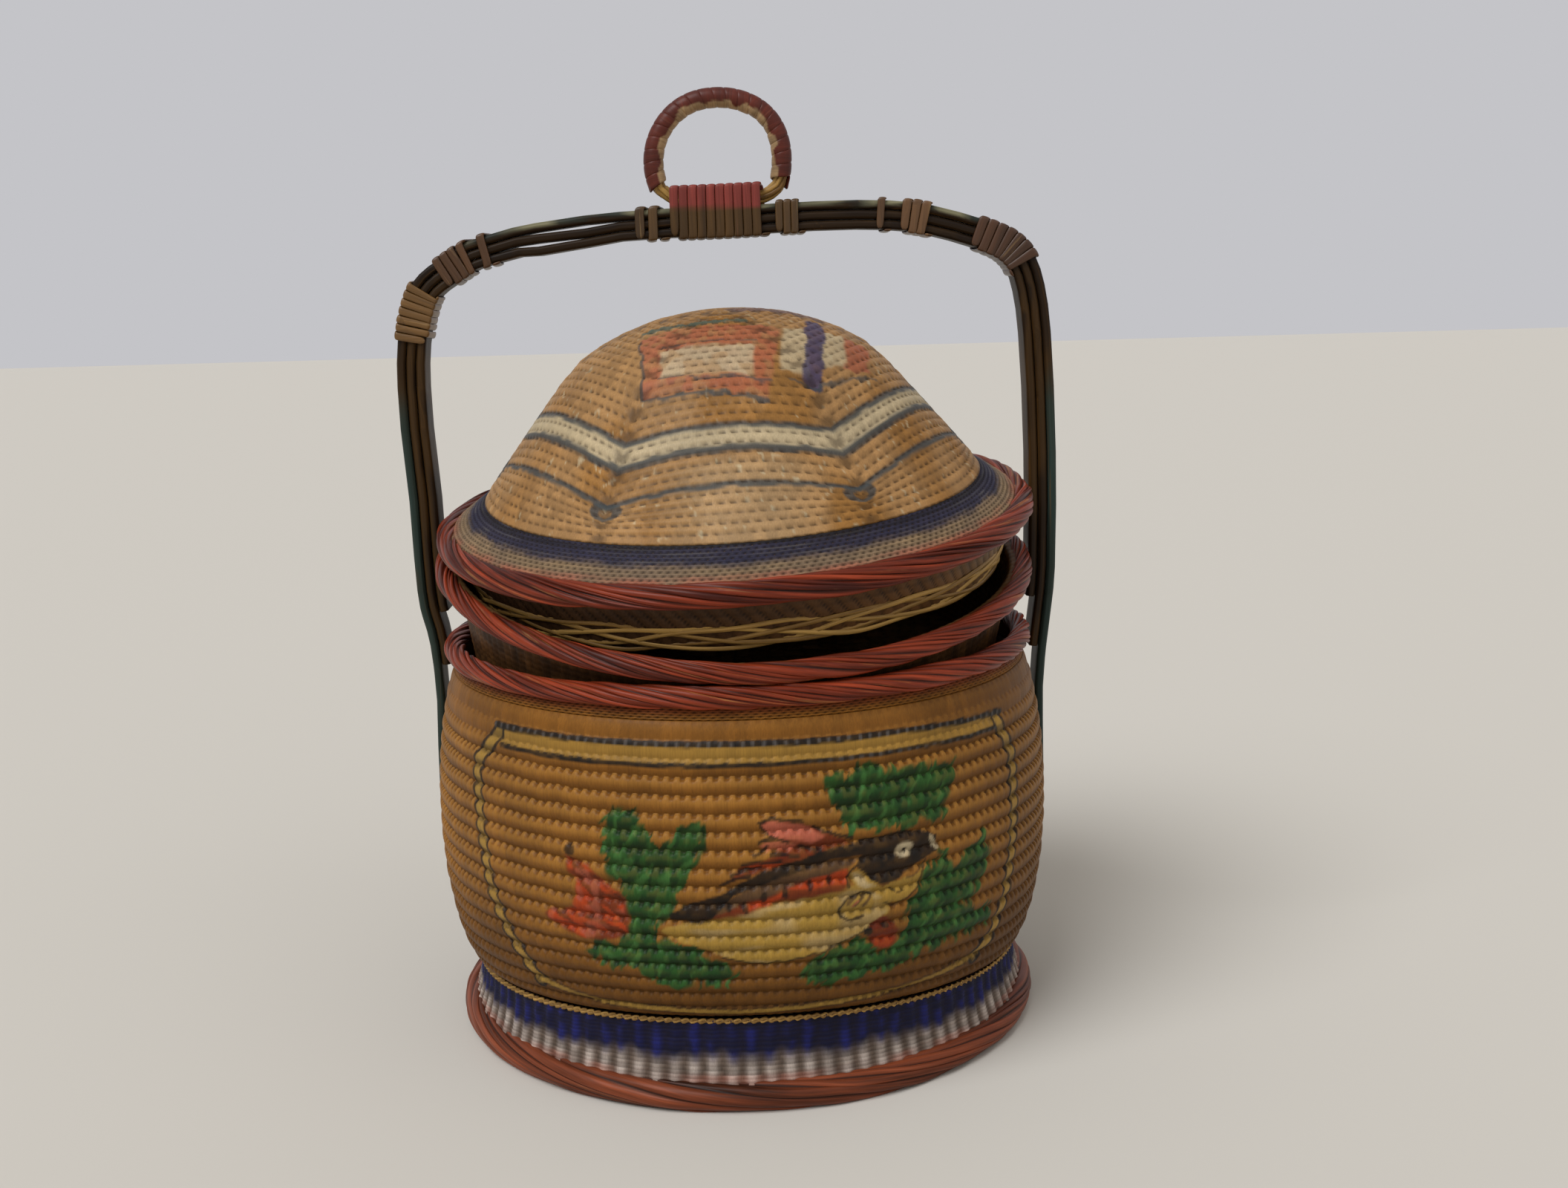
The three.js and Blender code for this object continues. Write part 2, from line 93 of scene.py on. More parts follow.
class Dye(Enum):
    """Colours of the cane, bamboo and paint, as sRGB."""

    TAN = "#80521A"
    TAN_PALE = "#AE7E3A"
    TAN_DEEP = "#50320E"
    BROWN = "#5E3F22"
    DARK_BROWN = "#38271A"
    INSIDE = "#7A5936"
    OCHRE = "#9C7A36"
    BLACK = "#15110E"
    TICK = "#54504E"
    NAVY = "#12132E"
    BLUE = "#1E2368"
    SLATE = "#22243C"
    CHALK = "#B4A8A0"
    DUST_AND_SHADE = "#62544A"
    STRAW = "#9E8460"
    GREEN = "#184418"
    GREEN_DEEP = "#0C2810"
    GREEN_PALE = "#3E6C34"
    ORANGE = "#AE3E16"
    EARTH = "#6A2610"
    ROSE = "#B4604A"
    CREAM = "#9E7E36"
    UMBER = "#4A3626"
    PALE = "#BAAA8A"
    LINE = "#3E4446"
    PLUM = "#3C395A"
    BRICK = "#A45C42"
    SEA = "#44584F"
    DOME = "#A07A4E"
    DOME_DEEP = "#8C6028"
    GOLD_CANE = "#6A4C26"
    BROWN_CANE = "#52361E"
    UMBER_CANE = "#5E4228"
    RUST_CANE = "#462C1A"
    GRIP_CANE = "#4A3418"
    GRIP_RED = "#7C352E"
    RING_RED = "#542014"
    BOW = "#3A2812"
    BOW_DARK = "#1A110A"
    BOW_GREEN = "#2A3A36"
    BOW_PALE = "#9A9474"


def linear(hex_code: str) -> tuple[float, float, float, float]:
    """Turns an sRGB hex colour into linear values.

    Args:
        hex_code: colour as "#RRGGBB".

    Returns:
        Linear red, green and blue, with an alpha of 1.
    """
    parts = [int(hex_code[i : i + 2], 16) / 255 for i in (1, 3, 5)]
    r, g, b = (c / 12.92 if c <= 0.04045 else ((c + 0.055) / 1.055) ** 2.4 for c in parts)
    return r, g, b, 1.0


def add(tree: bpy.types.NodeTree, kind: str, inputs: dict | None = None, **settings: object) -> bpy.types.Node:
    """Adds a node to a tree.

    Args:
        tree: the node tree.
        kind: the node's type name.
        inputs: values or sockets for its inputs, by name or index.
        settings: the node's own properties.

    Returns:
        The new node.
    """
    node = tree.nodes.new(kind)
    for key, value in settings.items():
        setattr(node, key, value)
    for key, value in (inputs or {}).items():
        if isinstance(value, bpy.types.NodeSocket):
            tree.links.new(value, node.inputs[key])
        else:
            node.inputs[key].default_value = value
    return node


def principled(name: str, values: dict) -> tuple[bpy.types.Material, bpy.types.NodeTree, bpy.types.Node]:
    """Starts a material.

    Args:
        name: its name.
        values: constant values of the shader's sockets.

    Returns:
        The material, its node tree and its shader.
    """
    material = bpy.data.materials.new(name)
    material.use_nodes = True
    shader = material.node_tree.nodes["Principled BSDF"]
    for key, value in values.items():
        shader.inputs[key].default_value = value
    return material, material.node_tree, shader


def read(tree: bpy.types.NodeTree, name: str, socket: str = "Fac") -> bpy.types.NodeSocket:
    """Socket that reads a mesh attribute."""
    return add(tree, "ShaderNodeAttribute", attribute_name=name).outputs[socket]


def stretched(tree: bpy.types.NodeTree, noise: bpy.types.NodeSocket, low: float, high: float) -> bpy.types.NodeSocket:
    """Spreads the middle values of a noise, where most of them lie.

    Args:
        tree: the node tree.
        noise: the noise, mostly from 0.3 to 0.7.
        low: result at the low end.
        high: result at the high end.

    Returns:
        The result.
    """
    inputs = {"Value": noise, "From Min": 0.3, "From Max": 0.7, "To Min": low, "To Max": high}
    return add(tree, "ShaderNodeMapRange", inputs).outputs[0]


def blended(
    tree: bpy.types.NodeTree, share: object, first: object, second: object, way: str = "MIX"
) -> bpy.types.NodeSocket:
    """Mixes two colours.

    Args:
        tree: the node tree.
        share: share of the second, 0 to 1.
        first: colour or socket.
        second: colour or socket.
        way: how they are mixed.

    Returns:
        The mixed colour.
    """
    return add(tree, "ShaderNodeMix", {0: share, 6: first, 7: second}, data_type="RGBA", blend_type=way).outputs[2]


@dataclass(frozen=True)
class WovenFinish:
    """Split bamboo or cane, plaited by hand, then painted and varnished. Sizes in mm."""

    # fibres along the splint, painted shade of dull brown in the gaps between splints, and a soft sheen on their crowns
    name: str
    roughness: float = 0.5
    fibre: float = 0.9
    fibre_run: float = 14.0
    gap: str = "#26170B"
    gap_shade: float = 0.75
    grime: float = 38.0
    relief: float = 0.4
    gloss: float = 0.16
    coat: float = 0.06

    def make(self) -> bpy.types.Material:
        """Builds the material.

        Returns:
            A material that reads the piece's paint and hollow attributes.
        """
        sheen = {"IOR": 1.45, "Specular IOR Level": self.gloss, "Coat Weight": self.coat, "Coat Roughness": 0.35}
        material, tree, shader = principled(self.name, sheen)
        paint, hollow = read(tree, "paint", "Color"), read(tree, "hollow")
        place = add(tree, "ShaderNodeTexCoord").outputs["Object"]
        across, along = 1 / (self.fibre * MM), 1 / (self.fibre_run * MM)
        mapping = add(tree, "ShaderNodeMapping", {"Vector": place, "Scale": (across, across, along)}).outputs[0]
        fibre = add(
            tree, "ShaderNodeTexNoise", {"Vector": mapping, "Scale": 1.0, "Detail": 3.0, "Roughness": 0.6}
        ).outputs[0]
        grime = add(
            tree, "ShaderNodeTexNoise", {"Vector": place, "Scale": 1 / (self.grime * MM), "Detail": 4.0}
        ).outputs[0]
        # fibres and grime each make the paint lighter or darker by about an eighth
        streak, cloud = stretched(tree, fibre, 0.86, 1.12), stretched(tree, grime, 0.86, 1.1)
        both = add(tree, "ShaderNodeMath", {0: streak, 1: cloud}, operation="MULTIPLY").outputs[0]
        worn = blended(tree, 1.0, paint, both, "MULTIPLY")
        # painted shade: the hollow attribute darkens the colour towards the gap colour, in the weave's gaps and
        # recesses
        depth = add(tree, "ShaderNodeMapRange", {"Value": hollow, "To Max": self.gap_shade}).outputs[0]
        tree.links.new(blended(tree, depth, worn, linear(self.gap)), shader.inputs["Base Color"])
        dull = {"Value": fibre, "To Min": self.roughness - 0.08, "To Max": self.roughness + 0.14}
        tree.links.new(add(tree, "ShaderNodeMapRange", dull).outputs[0], shader.inputs["Roughness"])
        bump = add(tree, "ShaderNodeBump", {"Height": fibre, "Strength": 0.35, "Distance": self.relief * MM})
        tree.links.new(bump.outputs[0], shader.inputs["Normal"])
        return material


@dataclass(frozen=True)
class CaneFinish:
    """Cane or bamboo strip, split and scraped, bare or painted. Sizes in mm."""

    # long streaks down the strip, paint rubbed through to bare cane on the crowns, painted shade between strands
    name: str
    bare: str
    stain: tuple[str, str] | None = None
    wear: float = 0.25
    roughness: float = 0.42
    streak: float = 1.1
    streak_run: float = 30.0
    relief: float = 0.4
    coat: float = 0.1
    gloss: float = 0.24
    crevice_shade: str = "#160C08"

    def make(self) -> bpy.types.Material:
        """Builds the material.

        Returns:
            A material that reads the piece's grain and hollow attributes, and its tone if stained or else its paint.
        """
        sheen = {"IOR": 1.48, "Specular IOR Level": self.gloss, "Coat Weight": self.coat, "Coat Roughness": 0.3}
        material, tree, shader = principled(self.name, sheen)
        grain, hollow = read(tree, "grain", "Vector"), read(tree, "hollow")
        scale = (1 / self.streak_run, 1 / self.streak, 1 / self.streak)
        mapping = add(tree, "ShaderNodeMapping", {"Vector": grain, "Scale": scale}).outputs[0]
        streak = add(
            tree, "ShaderNodeTexNoise", {"Vector": mapping, "Scale": 1.0, "Detail": 3.0, "Roughness": 0.65}
        ).outputs[0]
        patch = add(
            tree, "ShaderNodeTexNoise", {"Vector": mapping, "Scale": 0.35, "Detail": 5.0, "Roughness": 0.7}
        ).outputs[0]
        if self.stain is None:
            colour = read(tree, "paint", "Color")
        else:
            # every strand lies somewhere between the two stains
            shift = add(tree, "ShaderNodeMath", {0: streak, 1: read(tree, "tone")}, operation="ADD").outputs[0]
            share = add(tree, "ShaderNodeMapRange", {"Value": shift, "From Min": 0.45, "From Max": 1.5}).outputs[0]
            colour = blended(tree, share, linear(self.stain[1]), linear(self.stain[0]))
        # bare cane shows where the patches are high, more on the crowns than between the strands
        crown = add(tree, "ShaderNodeMath", {0: patch, 1: hollow}, operation="SUBTRACT").outputs[0]
        limits = {"From Min": 0.72 - 0.4 * self.wear, "From Max": 0.86 - 0.3 * self.wear, "To Max": 0.75}
        rubbed = add(tree, "ShaderNodeMapRange", {"Value": crown, **limits}).outputs[0]
        worn = blended(tree, rubbed, colour, linear(self.bare))
        lined = blended(tree, 1.0, worn, stretched(tree, streak, 0.72, 1.18), "MULTIPLY")
        # painted shade: the hollow attribute darkens the grooves and undersides of the strands towards near black
        tree.links.new(blended(tree, hollow, lined, linear(self.crevice_shade)), shader.inputs["Base Color"])
        dull = {"Value": patch, "To Min": self.roughness - 0.1, "To Max": self.roughness + 0.2}
        tree.links.new(add(tree, "ShaderNodeMapRange", dull).outputs[0], shader.inputs["Roughness"])
        bump = add(tree, "ShaderNodeBump", {"Height": streak, "Strength": 0.4, "Distance": self.relief * MM})
        tree.links.new(bump.outputs[0], shader.inputs["Normal"])
        return material


def smooth(low: float, high: float, x: Array) -> Array:
    """Smooth step.

    Args:
        low: value at which it is 0.
        high: value at which it is 1; may lie below low.
        x: values.

    Returns:
        Shares from 0 to 1.
    """
    t = np.clip((x - low) / (high - low), 0.0, 1.0)
    return t * t * (3.0 - 2.0 * t)


def mottle(x: Array, y: Array, size: float, seed: int) -> Array:
    """Soft random field, the same at every run.

    Args:
        x: first coordinate.
        y: second coordinate.
        size: spacing of the random values, in the coordinates' unit.
        seed: which field.

    Returns:
        Values from 0 to 1.
    """
    table = np.random.default_rng(seed).random((MOTTLE_CELLS, MOTTLE_CELLS))
    u, v = x / size, y / size
    i, j = np.floor(u).astype(int), np.floor(v).astype(int)
    f, g = smooth(0.0, 1.0, u - i), smooth(0.0, 1.0, v - j)
    i0, i1, j0, j1 = (k % MOTTLE_CELLS for k in (i, i + 1, j, j + 1))
    low = table[i0, j0] * (1 - f) + table[i1, j0] * f
    high = table[i0, j1] * (1 - f) + table[i1, j1] * f
    return low * (1 - g) + high * g


def askew(x: float, z: float, tx: float, ty: float) -> Matrix:
    """Frame of a piece that sits askew on the basket's axis.

    Args:
        x: shift to the right, mm.
        z: height, mm.
        tx: tilt about X, radians.
        ty: tilt about Y, radians.

    Returns:
        Matrix from the piece's mm to metres in the row frame.
    """
    turn = Matrix.Rotation(ty, 4, "Y") @ Matrix.Rotation(tx, 4, "X")
    return Matrix.Scale(MM, 4) @ Matrix.Translation((AXIS_X + x, 0.0, z)) @ turn


UPRIGHT = askew(0.0, 0.0, 0.0, 0.0)
IN_PLACE = Matrix.Identity(4)


class Profile:
    """A line of (radius, height) points, read by the distance along it. Millimetres."""

    def __init__(self, points: Line) -> None:
        """Keeps the points and their distances along the line.

        Args:
            points: radius and height of each point.
        """
        self.points = np.array(points, float)
        steps = np.hypot(*np.diff(self.points, axis=0).T)
        self.runs = np.concatenate([[0.0], np.cumsum(steps)])
        self.length = float(self.runs[-1])

    def at(self, run: Array) -> tuple[Array, Array]:
        """Radius and height at a distance along the line."""
        return np.interp(run, self.runs, self.points[:, 0]), np.interp(run, self.runs, self.points[:, 1])

    def outward(self, run: Array) -> tuple[Array, Array]:
        """Unit normal, to the right of the way along the line.

        Args:
            run: distances along the line.

        Returns:
            Its radial and upright parts.
        """
        low, high = (np.clip(run + step, 0, self.length) for step in (-TANGENT_REACH, TANGENT_REACH))
        (r0, z0), (r1, z1) = self.at(low), self.at(high)
        size = np.hypot(r1 - r0, z1 - z0)
        return (z1 - z0) / size, -(r1 - r0) / size


def circle(radius: float, height: float, size: float, turns: Array) -> list[tuple[float, float]]:
    """Round section for a turned ring: its points at these turns."""
    return [(radius + size * math.cos(math.tau * t), height + size * math.sin(math.tau * t)) for t in turns]


def turned(radius: Array, angle: Array, height: Array) -> Array:
    """Positions of points that are given by radius, angle and height."""
    return np.stack([radius * np.cos(angle), radius * np.sin(angle), height], axis=1)


def full_turn(steps: int) -> Array:
    """Angles of a full turn in equal steps, with both ends."""
    return np.linspace(0.0, math.tau, steps + 1)


def spun(points: Line, runs: Sequence[float], angles: Array, closed: bool) -> bpy.types.Mesh:
    """Bends a flat grid round Z, so that its columns follow a line.

    Args:
        points: (radius, height) of the line.
        runs: a value for each point, kept on every vertex that comes from it.
        angles: angle of each column; a part of a turn gets its ends closed.
        closed: True where the line's last point joins its first.

    Returns:
        The mesh, with the attribute "run".
    """
    line = np.array([*points, points[0]] if closed else points, float)
    values = np.array([*runs, runs[0]] if closed else runs, float)
    bm = bmesh.new()
    bmesh.ops.create_grid(bm, x_segments=len(angles) - 1, y_segments=len(line) - 1, size=0.5)
    mesh = bpy.data.meshes.new("turned")
    bm.to_mesh(mesh)
    flat = points_of(mesh) + 0.5
    row = np.rint(flat[:, 1] * (len(line) - 1)).astype(int)
    angle = angles[np.rint(flat[:, 0] * (len(angles) - 1)).astype(int)]
    move_points(mesh, turned(line[row, 0], angle, line[row, 1]))
    note(mesh, "run", values[row])
    bm.clear()
    bm.from_mesh(mesh)
    bmesh.ops.remove_doubles(bm, verts=bm.verts, dist=WELD)
    if angles[-1] - angles[0] < FULL_TURN:
        bmesh.ops.holes_fill(bm, edges=[e for e in bm.edges if e.is_boundary], sides=0)
    bmesh.ops.recalc_face_normals(bm, faces=bm.faces)
    bm.to_mesh(mesh)
    bm.free()
    return mesh


def points_of(mesh: bpy.types.Mesh) -> Array:
    """Reads the vertices.

    Args:
        mesh: the mesh.

    Returns:
        Their positions, one row each.
    """
    flat = np.empty(len(mesh.vertices) * 3, np.float32)
    mesh.vertices.foreach_get("co", flat)
    return flat.reshape(-1, 3).astype(float)


def move_points(mesh: bpy.types.Mesh, points: Array) -> None:
    """Puts the vertices at new positions."""
    mesh.vertices.foreach_set("co", points.astype(np.float32).ravel())
    mesh.update()


def bent(points: Array, bend: Bend | None) -> None:
    """Moves points up or down where a piece is out of true."""
    if bend is not None:
        x, y, z = points.T
        points[:, 2] += bend(np.arctan2(y, x), np.hypot(x, y), z)


def note(mesh: bpy.types.Mesh, name: str, values: Array) -> None:
    """Keeps a value on every vertex: a number, a vector of three or a colour of four.

    Args:
        mesh: the mesh.
        name: name of the attribute.
        values: one row for each vertex.
    """
    width = 1 if values.ndim == 1 else values.shape[1]
    kind, field = {1: ("FLOAT", "value"), 3: ("FLOAT_VECTOR", "vector"), 4: ("FLOAT_COLOR", "color")}[width]
    attribute = mesh.attributes.get(name) or mesh.attributes.new(name, kind, "POINT")
    attribute.data.foreach_set(field, values.astype(np.float32).ravel())


def runs_of(mesh: bpy.types.Mesh) -> Array:
    """Reads the "run" attribute.

    Args:
        mesh: a mesh that spun made.

    Returns:
        One value for each vertex.
    """
    values = np.empty(len(mesh.vertices), np.float32)
    mesh.attributes["run"].data.foreach_get("value", values)
    return values.astype(float)


def bundled(meshes: Sequence[bpy.types.Mesh]) -> bpy.types.Mesh:
    """Joins meshes into one and removes them.

    Args:
        meshes: the meshes.

    Returns:
        The joined mesh, with their attributes.
    """
    bm = bmesh.new()
    for mesh in meshes:
        bm.from_mesh(mesh)
        bpy.data.meshes.remove(mesh)
    whole = bpy.data.meshes.new("bundle")
    bm.to_mesh(whole)
    bm.free()
    return whole


@dataclass(frozen=True)
class Seat:
    """Where pieces sit: the CAD body they ride on, and the way from their own axes to metres in the row frame."""

    part: Part
    frame: Matrix

    def fit(self, mesh: bpy.types.Mesh, name: str, material: bpy.types.Material, node: str) -> None:
        """Makes an object of a mesh, sets it on its body and hides the CAD node that it replaces.

        Args:
            mesh: mesh in the pieces' own axes.
            name: name of the piece.
            material: its finish.
            node: CAD node that it replaces.
        """
        mesh.transform(self.frame)
        mesh.name = name
        corners = np.empty(len(mesh.polygons), np.int32)
        mesh.polygons.foreach_get("loop_total", corners)
        # only the end faces of part walls have a great many corners, and stay flat
        mesh.polygons.foreach_set("use_smooth", corners <= END_CORNERS)
        mesh.materials.clear()
        mesh.materials.append(material)
        piece = bpy.data.objects.new(name, mesh)
        bpy.context.scene.collection.objects.link(piece)
        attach(piece, self.part.value)
        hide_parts(node)
        LOG.info("%s: %d faces", name, len(mesh.polygons))


def coloured(dye: Dye, count: int) -> Array:
    """A field of one colour, one row for each point."""
    return np.tile(np.array(linear(dye.value)), (count, 1))


def lay(field: Array, dye: Dye, mask: Array) -> None:
    """Paints a colour into a field where the mask is 1."""
    field[:] = field + (np.array(linear(dye.value)) - field) * mask[:, None]


def band(x: Array, low: float, high: float, edge: float) -> Array:
    """1 between two limits and 0 beyond them, with soft edges."""
    return smooth(low - edge, low + edge, x) * smooth(high + edge, high - edge, x)


def vary(field: Array, tone: Array, share: float) -> None:
    """Makes a field lighter or darker by the splints' own tones."""
    field[:, :3] *= (1 + share * tone)[:, None]


class Weave(Enum):
    """Ways of plaiting a wall."""

    SHINGLE = "bold rows whose lip stands proud, with the tips of the splints showing past it"
    STAKED = "fine weft over upright stakes that show as ribs"
    BRICK = "fine weft with lens-shaped gaps, set off by half a stake from row to row"
    TWILL = "broad strips laid on the slant"


@dataclass
class Relief:
    """What a weave does to a wall at every point.

    Lift along the normal and slide along the wall are in mm, hollow (the share of painted shade in the weave's
    recesses) and crest (its raised tops) go from 0 to 1, tone from -1 to 1.
    """

    lift: Array
    slide: Array
    hollow: Array
    tone: Array
    crest: Array


@dataclass
class Cell:
    """Where points lie in a weave: row, place in it from its foot, stakes across, rows up, and the splint's tone."""

    row: Array
    rise: Array
    across: Array
    up: Array
    tone: Array


def lens(cell: Cell, reach: Array | float, narrow: float) -> Array:
    """Lens-shaped gaps between rows, set off by half a stake from row to row.

    Args:
        cell: places in the weave.
        reach: how far a gap reaches into the rows, as a share of a row.
        narrow: 0 for gaps as wide as a stake, up to 0.6 for slits.

    Returns:
        Shares from 0 to 1.
    """
    edge = np.where(cell.rise < 0.5, cell.row, cell.row + 1)
    wide = 0.5 + 0.5 * np.cos(math.tau * cell.across + math.pi * (edge % 2))
    return smooth(narrow, narrow + 0.5, wide) * smooth(reach, 0.2 * reach, np.minimum(cell.rise, 1 - cell.rise))


@dataclass(frozen=True)
class WeavePlan:
    """Counts and sizes of a weave. Sizes in mm.

    Bold rows have their own steps, so per_row is for the others. Tooth and splint are how far the tips of the splints
    and the splints themselves stand out, calm is the share of the wall from which its relief dies away, and both says
    that the inner face is woven too.
    """

    kind: Weave
    rows: int
    stakes: int
    per_stake: int
    lift: float
    seed: int
    per_row: int = len(LIP_STEPS)
    tooth: float = 0.0
    splint: float = 0.16
    calm: float = 2.0
    both: bool = False

    def shares(self) -> Array:
        """Works out where the rings of points go up the wall.

        Returns:
            Shares from 0 to 1, closer together at the lips of bold rows.
        """
        steps = np.array(LIP_STEPS) if self.kind is Weave.SHINGLE else np.arange(self.per_row) / self.per_row
        return np.append((np.arange(self.rows)[:, None] + steps).ravel(), self.rows) / self.rows

    def relief(self, share: Array, turn: Array) -> Relief:
        """Works out the relief.

        Args:
            share: place up the wall, 0 to 1.
            turn: place round the wall, 0 to 1.

        Returns:
            The relief at every point.
        """
        up, across = share * self.rows, turn * self.stakes
        row = np.clip(np.floor(up + NUDGE), 0, self.rows - 1).astype(int)
        table = np.random.default_rng(self.seed).random((self.rows + 2, self.stakes + 2)) * 2 - 1
        tone = table[row, np.floor(across + 0.5).astype(int) % self.stakes]
        cell = Cell(row, np.clip(up - row, 0.0, 1.0), across, up, tone)
        ways = {
            Weave.SHINGLE: self.shingle,
            Weave.STAKED: self.staked,
            Weave.BRICK: self.brick,
            Weave.TWILL: self.twill,
        }
        return ways[self.kind](cell)

    def shingle(self, cell: Cell) -> Relief:
        """Bold rows: each is tucked in at its foot and stands out at its lip, which is toothed by the splints' tips.

        Args:
            cell: places in the weave.

        Returns:
            The relief at every point.
        """
        wave = np.cos(math.tau * cell.across)
        tip, valley = smooth(-0.4, 0.5, wave), smooth(-0.3, -1.0, wave)
        # near the mouth the rows lie flat
        fade = 1 - 0.75 * smooth(self.calm - 0.04, self.calm + 0.04, cell.up / self.rows)
        lip = smooth(0.74, 0.86, cell.rise) + smooth(0.1, 0.02, cell.rise)
        row_lift = self.lift * np.interp(cell.rise, LIP_STEPS, LIP_LIFT)
        lift = fade * (row_lift + self.splint * (tip * lip - valley)) + 0.07 * cell.tone
        # no row runs quite level
        sway = mottle(np.abs(cell.across / self.stakes - 0.5) * 140, cell.up, 1.3, self.seed + 1) - 0.5
        slide = fade * self.tooth * (tip - 0.5) * lip + 0.9 * sway
        # painted shade: darker towards each row's foot, tucked behind the lip of the row below, in the valleys between
        # splints and between the splints' tips
        foot = 0.42 * smooth(0.55, 0.0, cell.rise) * (1 - 0.7 * tip * lip)
        hollow = fade * (foot + 0.08 * valley + 0.14 * (1 - tip) * lip)
        # crest marks the upper half of each row, which faces the light, and the splints' tips; the paint is made paler
        # there, as painted highlight and as wear
        crest = fade * (0.7 * smooth(0.3, 0.7, cell.rise) * (1 - lip) + 0.85 * tip * lip)
        return Relief(lift, slide, np.clip(hollow, 0, 1), cell.tone, crest)

    def staked(self, cell: Cell) -> Relief:
        """Fine weft over ribs.

        Args:
            cell: places in the weave.

        Returns:
            The relief at every point.
        """
        rib = 0.5 + 0.5 * np.cos(math.tau * cell.across)
        thread = np.sin(math.pi * cell.rise)
        lift = self.lift * (rib**1.5 - 0.5) + 0.28 * thread + 0.1 * cell.tone
        # painted shade between the weft threads and between the ribs
        hollow = 0.34 * (1 - thread) ** 1.5 + 0.2 * (1 - rib) ** 2
        return Relief(lift, np.zeros_like(lift), np.clip(hollow, 0, 1), cell.tone, rib)

    def brick(self, cell: Cell) -> Relief:
        """Fine weft with gaps.

        Args:
            cell: places in the weave.

        Returns:
            The relief at every point.
        """
        thread, gap = np.sin(math.pi * cell.rise), lens(cell, 0.42, 0.3)
        lift = self.lift * (0.5 * thread - 0.25 - 0.9 * gap) + 0.06 * cell.tone
        # painted shade in the gaps and between the threads
        return Relief(
            lift, np.zeros_like(lift), np.clip(gap + 0.12 * (1 - thread), 0, 1), cell.tone, thread * (1 - gap)
        )

    def twill(self, cell: Cell) -> Relief:
        """Slanting strips.

        Args:
            cell: places in the weave.

        Returns:
            The relief at every point.
        """
        slant = np.mod(cell.across + 0.9 * cell.up, 1.0)
        crown = np.sin(math.pi * slant)
        lift = self.lift * (crown**0.5 - 0.8 + 0.15 * np.sin(math.pi * cell.rise))
        side, end = np.minimum(slant, 1 - slant), np.minimum(cell.rise, 1 - cell.rise)
        # painted shade along the strips' sides and ends
        hollow = 0.9 * smooth(0.14, 0.0, side) + 0.25 * smooth(0.12, 0.0, end)
        return Relief(lift, np.zeros_like(lift), np.clip(hollow, 0, 1), cell.tone, crown)


@dataclass
class WallPoints:
    """Points of a woven wall, for painting.

    Bearing is from the front in degrees, height and the distance along the line are in mm, tone and crest are the
    weave's own.
    """

    bearing: Array
    height: Array
    run: Array
    tone: Array
    crest: Array

    def mottle(self, size: float, seed: int, round_share: float = 1.0, up_share: float = 1.0) -> Array:
        """Soft random patches, the same to the left and to the right of the front.

        Args:
            size: size of a patch, degrees round the wall and mm up it.
            seed: which patches.
            round_share: how much of the way round counts.
            up_share: how much of the way up counts.

        Returns:
            Values from 0 to 1.
        """
        return mottle(np.abs(self.bearing) * round_share + MOTTLE_START, self.run * up_share, size, seed)


Painter = Callable[[WallPoints], Array]


def woven_wall(
    line: Line,
    plan: WeavePlan,
    wall: float,
    paint: Painter,
    bend: Bend | None = None,
    span: tuple[int, int] | None = None,
) -> bpy.types.Mesh:
    """Builds a turned wall whose outer face is woven.

    Args:
        line: (radius, height) of the outer face, from its low end to its high end.
        plan: the weave.
        wall: thickness, mm.
        paint: gives the colour of every outer point.
        bend: change in height by angle, radius and height, if the wall is out of true.
        span: first and last stake, where the wall goes only part of the way round.

    Returns:
        The mesh in the piece's own mm.
    """
    profile = Profile(line)
    outer_runs = plan.shares() * profile.length
    radius, height = profile.at(outer_runs)
    inner_runs = outer_runs[::-1] if plan.both else np.linspace(profile.length, 0.0, INNER_RINGS)
    nr, nz = profile.outward(inner_runs)
    ir, iz = profile.at(inner_runs)
    ring = list(zip(radius, height)) + list(zip(ir - wall * nr, iz - INNER_RISE * wall * nz))
    first, last = span or (0, plan.stakes)
    angles = math.tau * np.linspace(first, last, (last - first) * plan.per_stake + 1) / plan.stakes
    mesh = spun(ring, [*outer_runs, *(-1.0 - inner_runs)], angles, True)
    points, run = points_of(mesh), runs_of(mesh)
    angle = np.arctan2(points[:, 1], points[:, 0])
    outer = run > -0.5
    run = np.where(outer, run, -1.0 - run)
    relief = plan.relief(np.clip(run / profile.length, 0, 1), np.mod(angle / math.tau, 1.0))
    ends = smooth(0.0, END_EASE, run) * smooth(0.0, END_EASE, profile.length - run)
    where = np.clip(run + relief.slide * ends, 0.0, profile.length)
    r, z = profile.at(where)
    nr, nz = profile.outward(where)
    inward = -wall - 0.5 * relief.lift
    r = r + np.where(outer, relief.lift, inward) * nr
    z = z + np.where(outer, relief.lift, INNER_RISE * inward) * nz
    woven = outer | plan.both
    points[woven] = turned(r, angle, z)[woven]
    bent(points, bend)
    bearing = np.degrees(np.arctan2(points[:, 0], -points[:, 1]))
    field = paint(WallPoints(bearing, points[:, 2], run, relief.tone, relief.crest))
    inside = coloured(Dye.INSIDE, len(points))
    vary(inside, relief.tone, 0.2)
    field[~outer] = inside[~outer]
    move_points(mesh, points)
    note(mesh, "paint", field)
    # painted shade: hollow darkens the weave's recesses, and a plain inner face a little all over
    note(mesh, "hollow", np.where(woven, relief.hollow, 0.15))
    return mesh


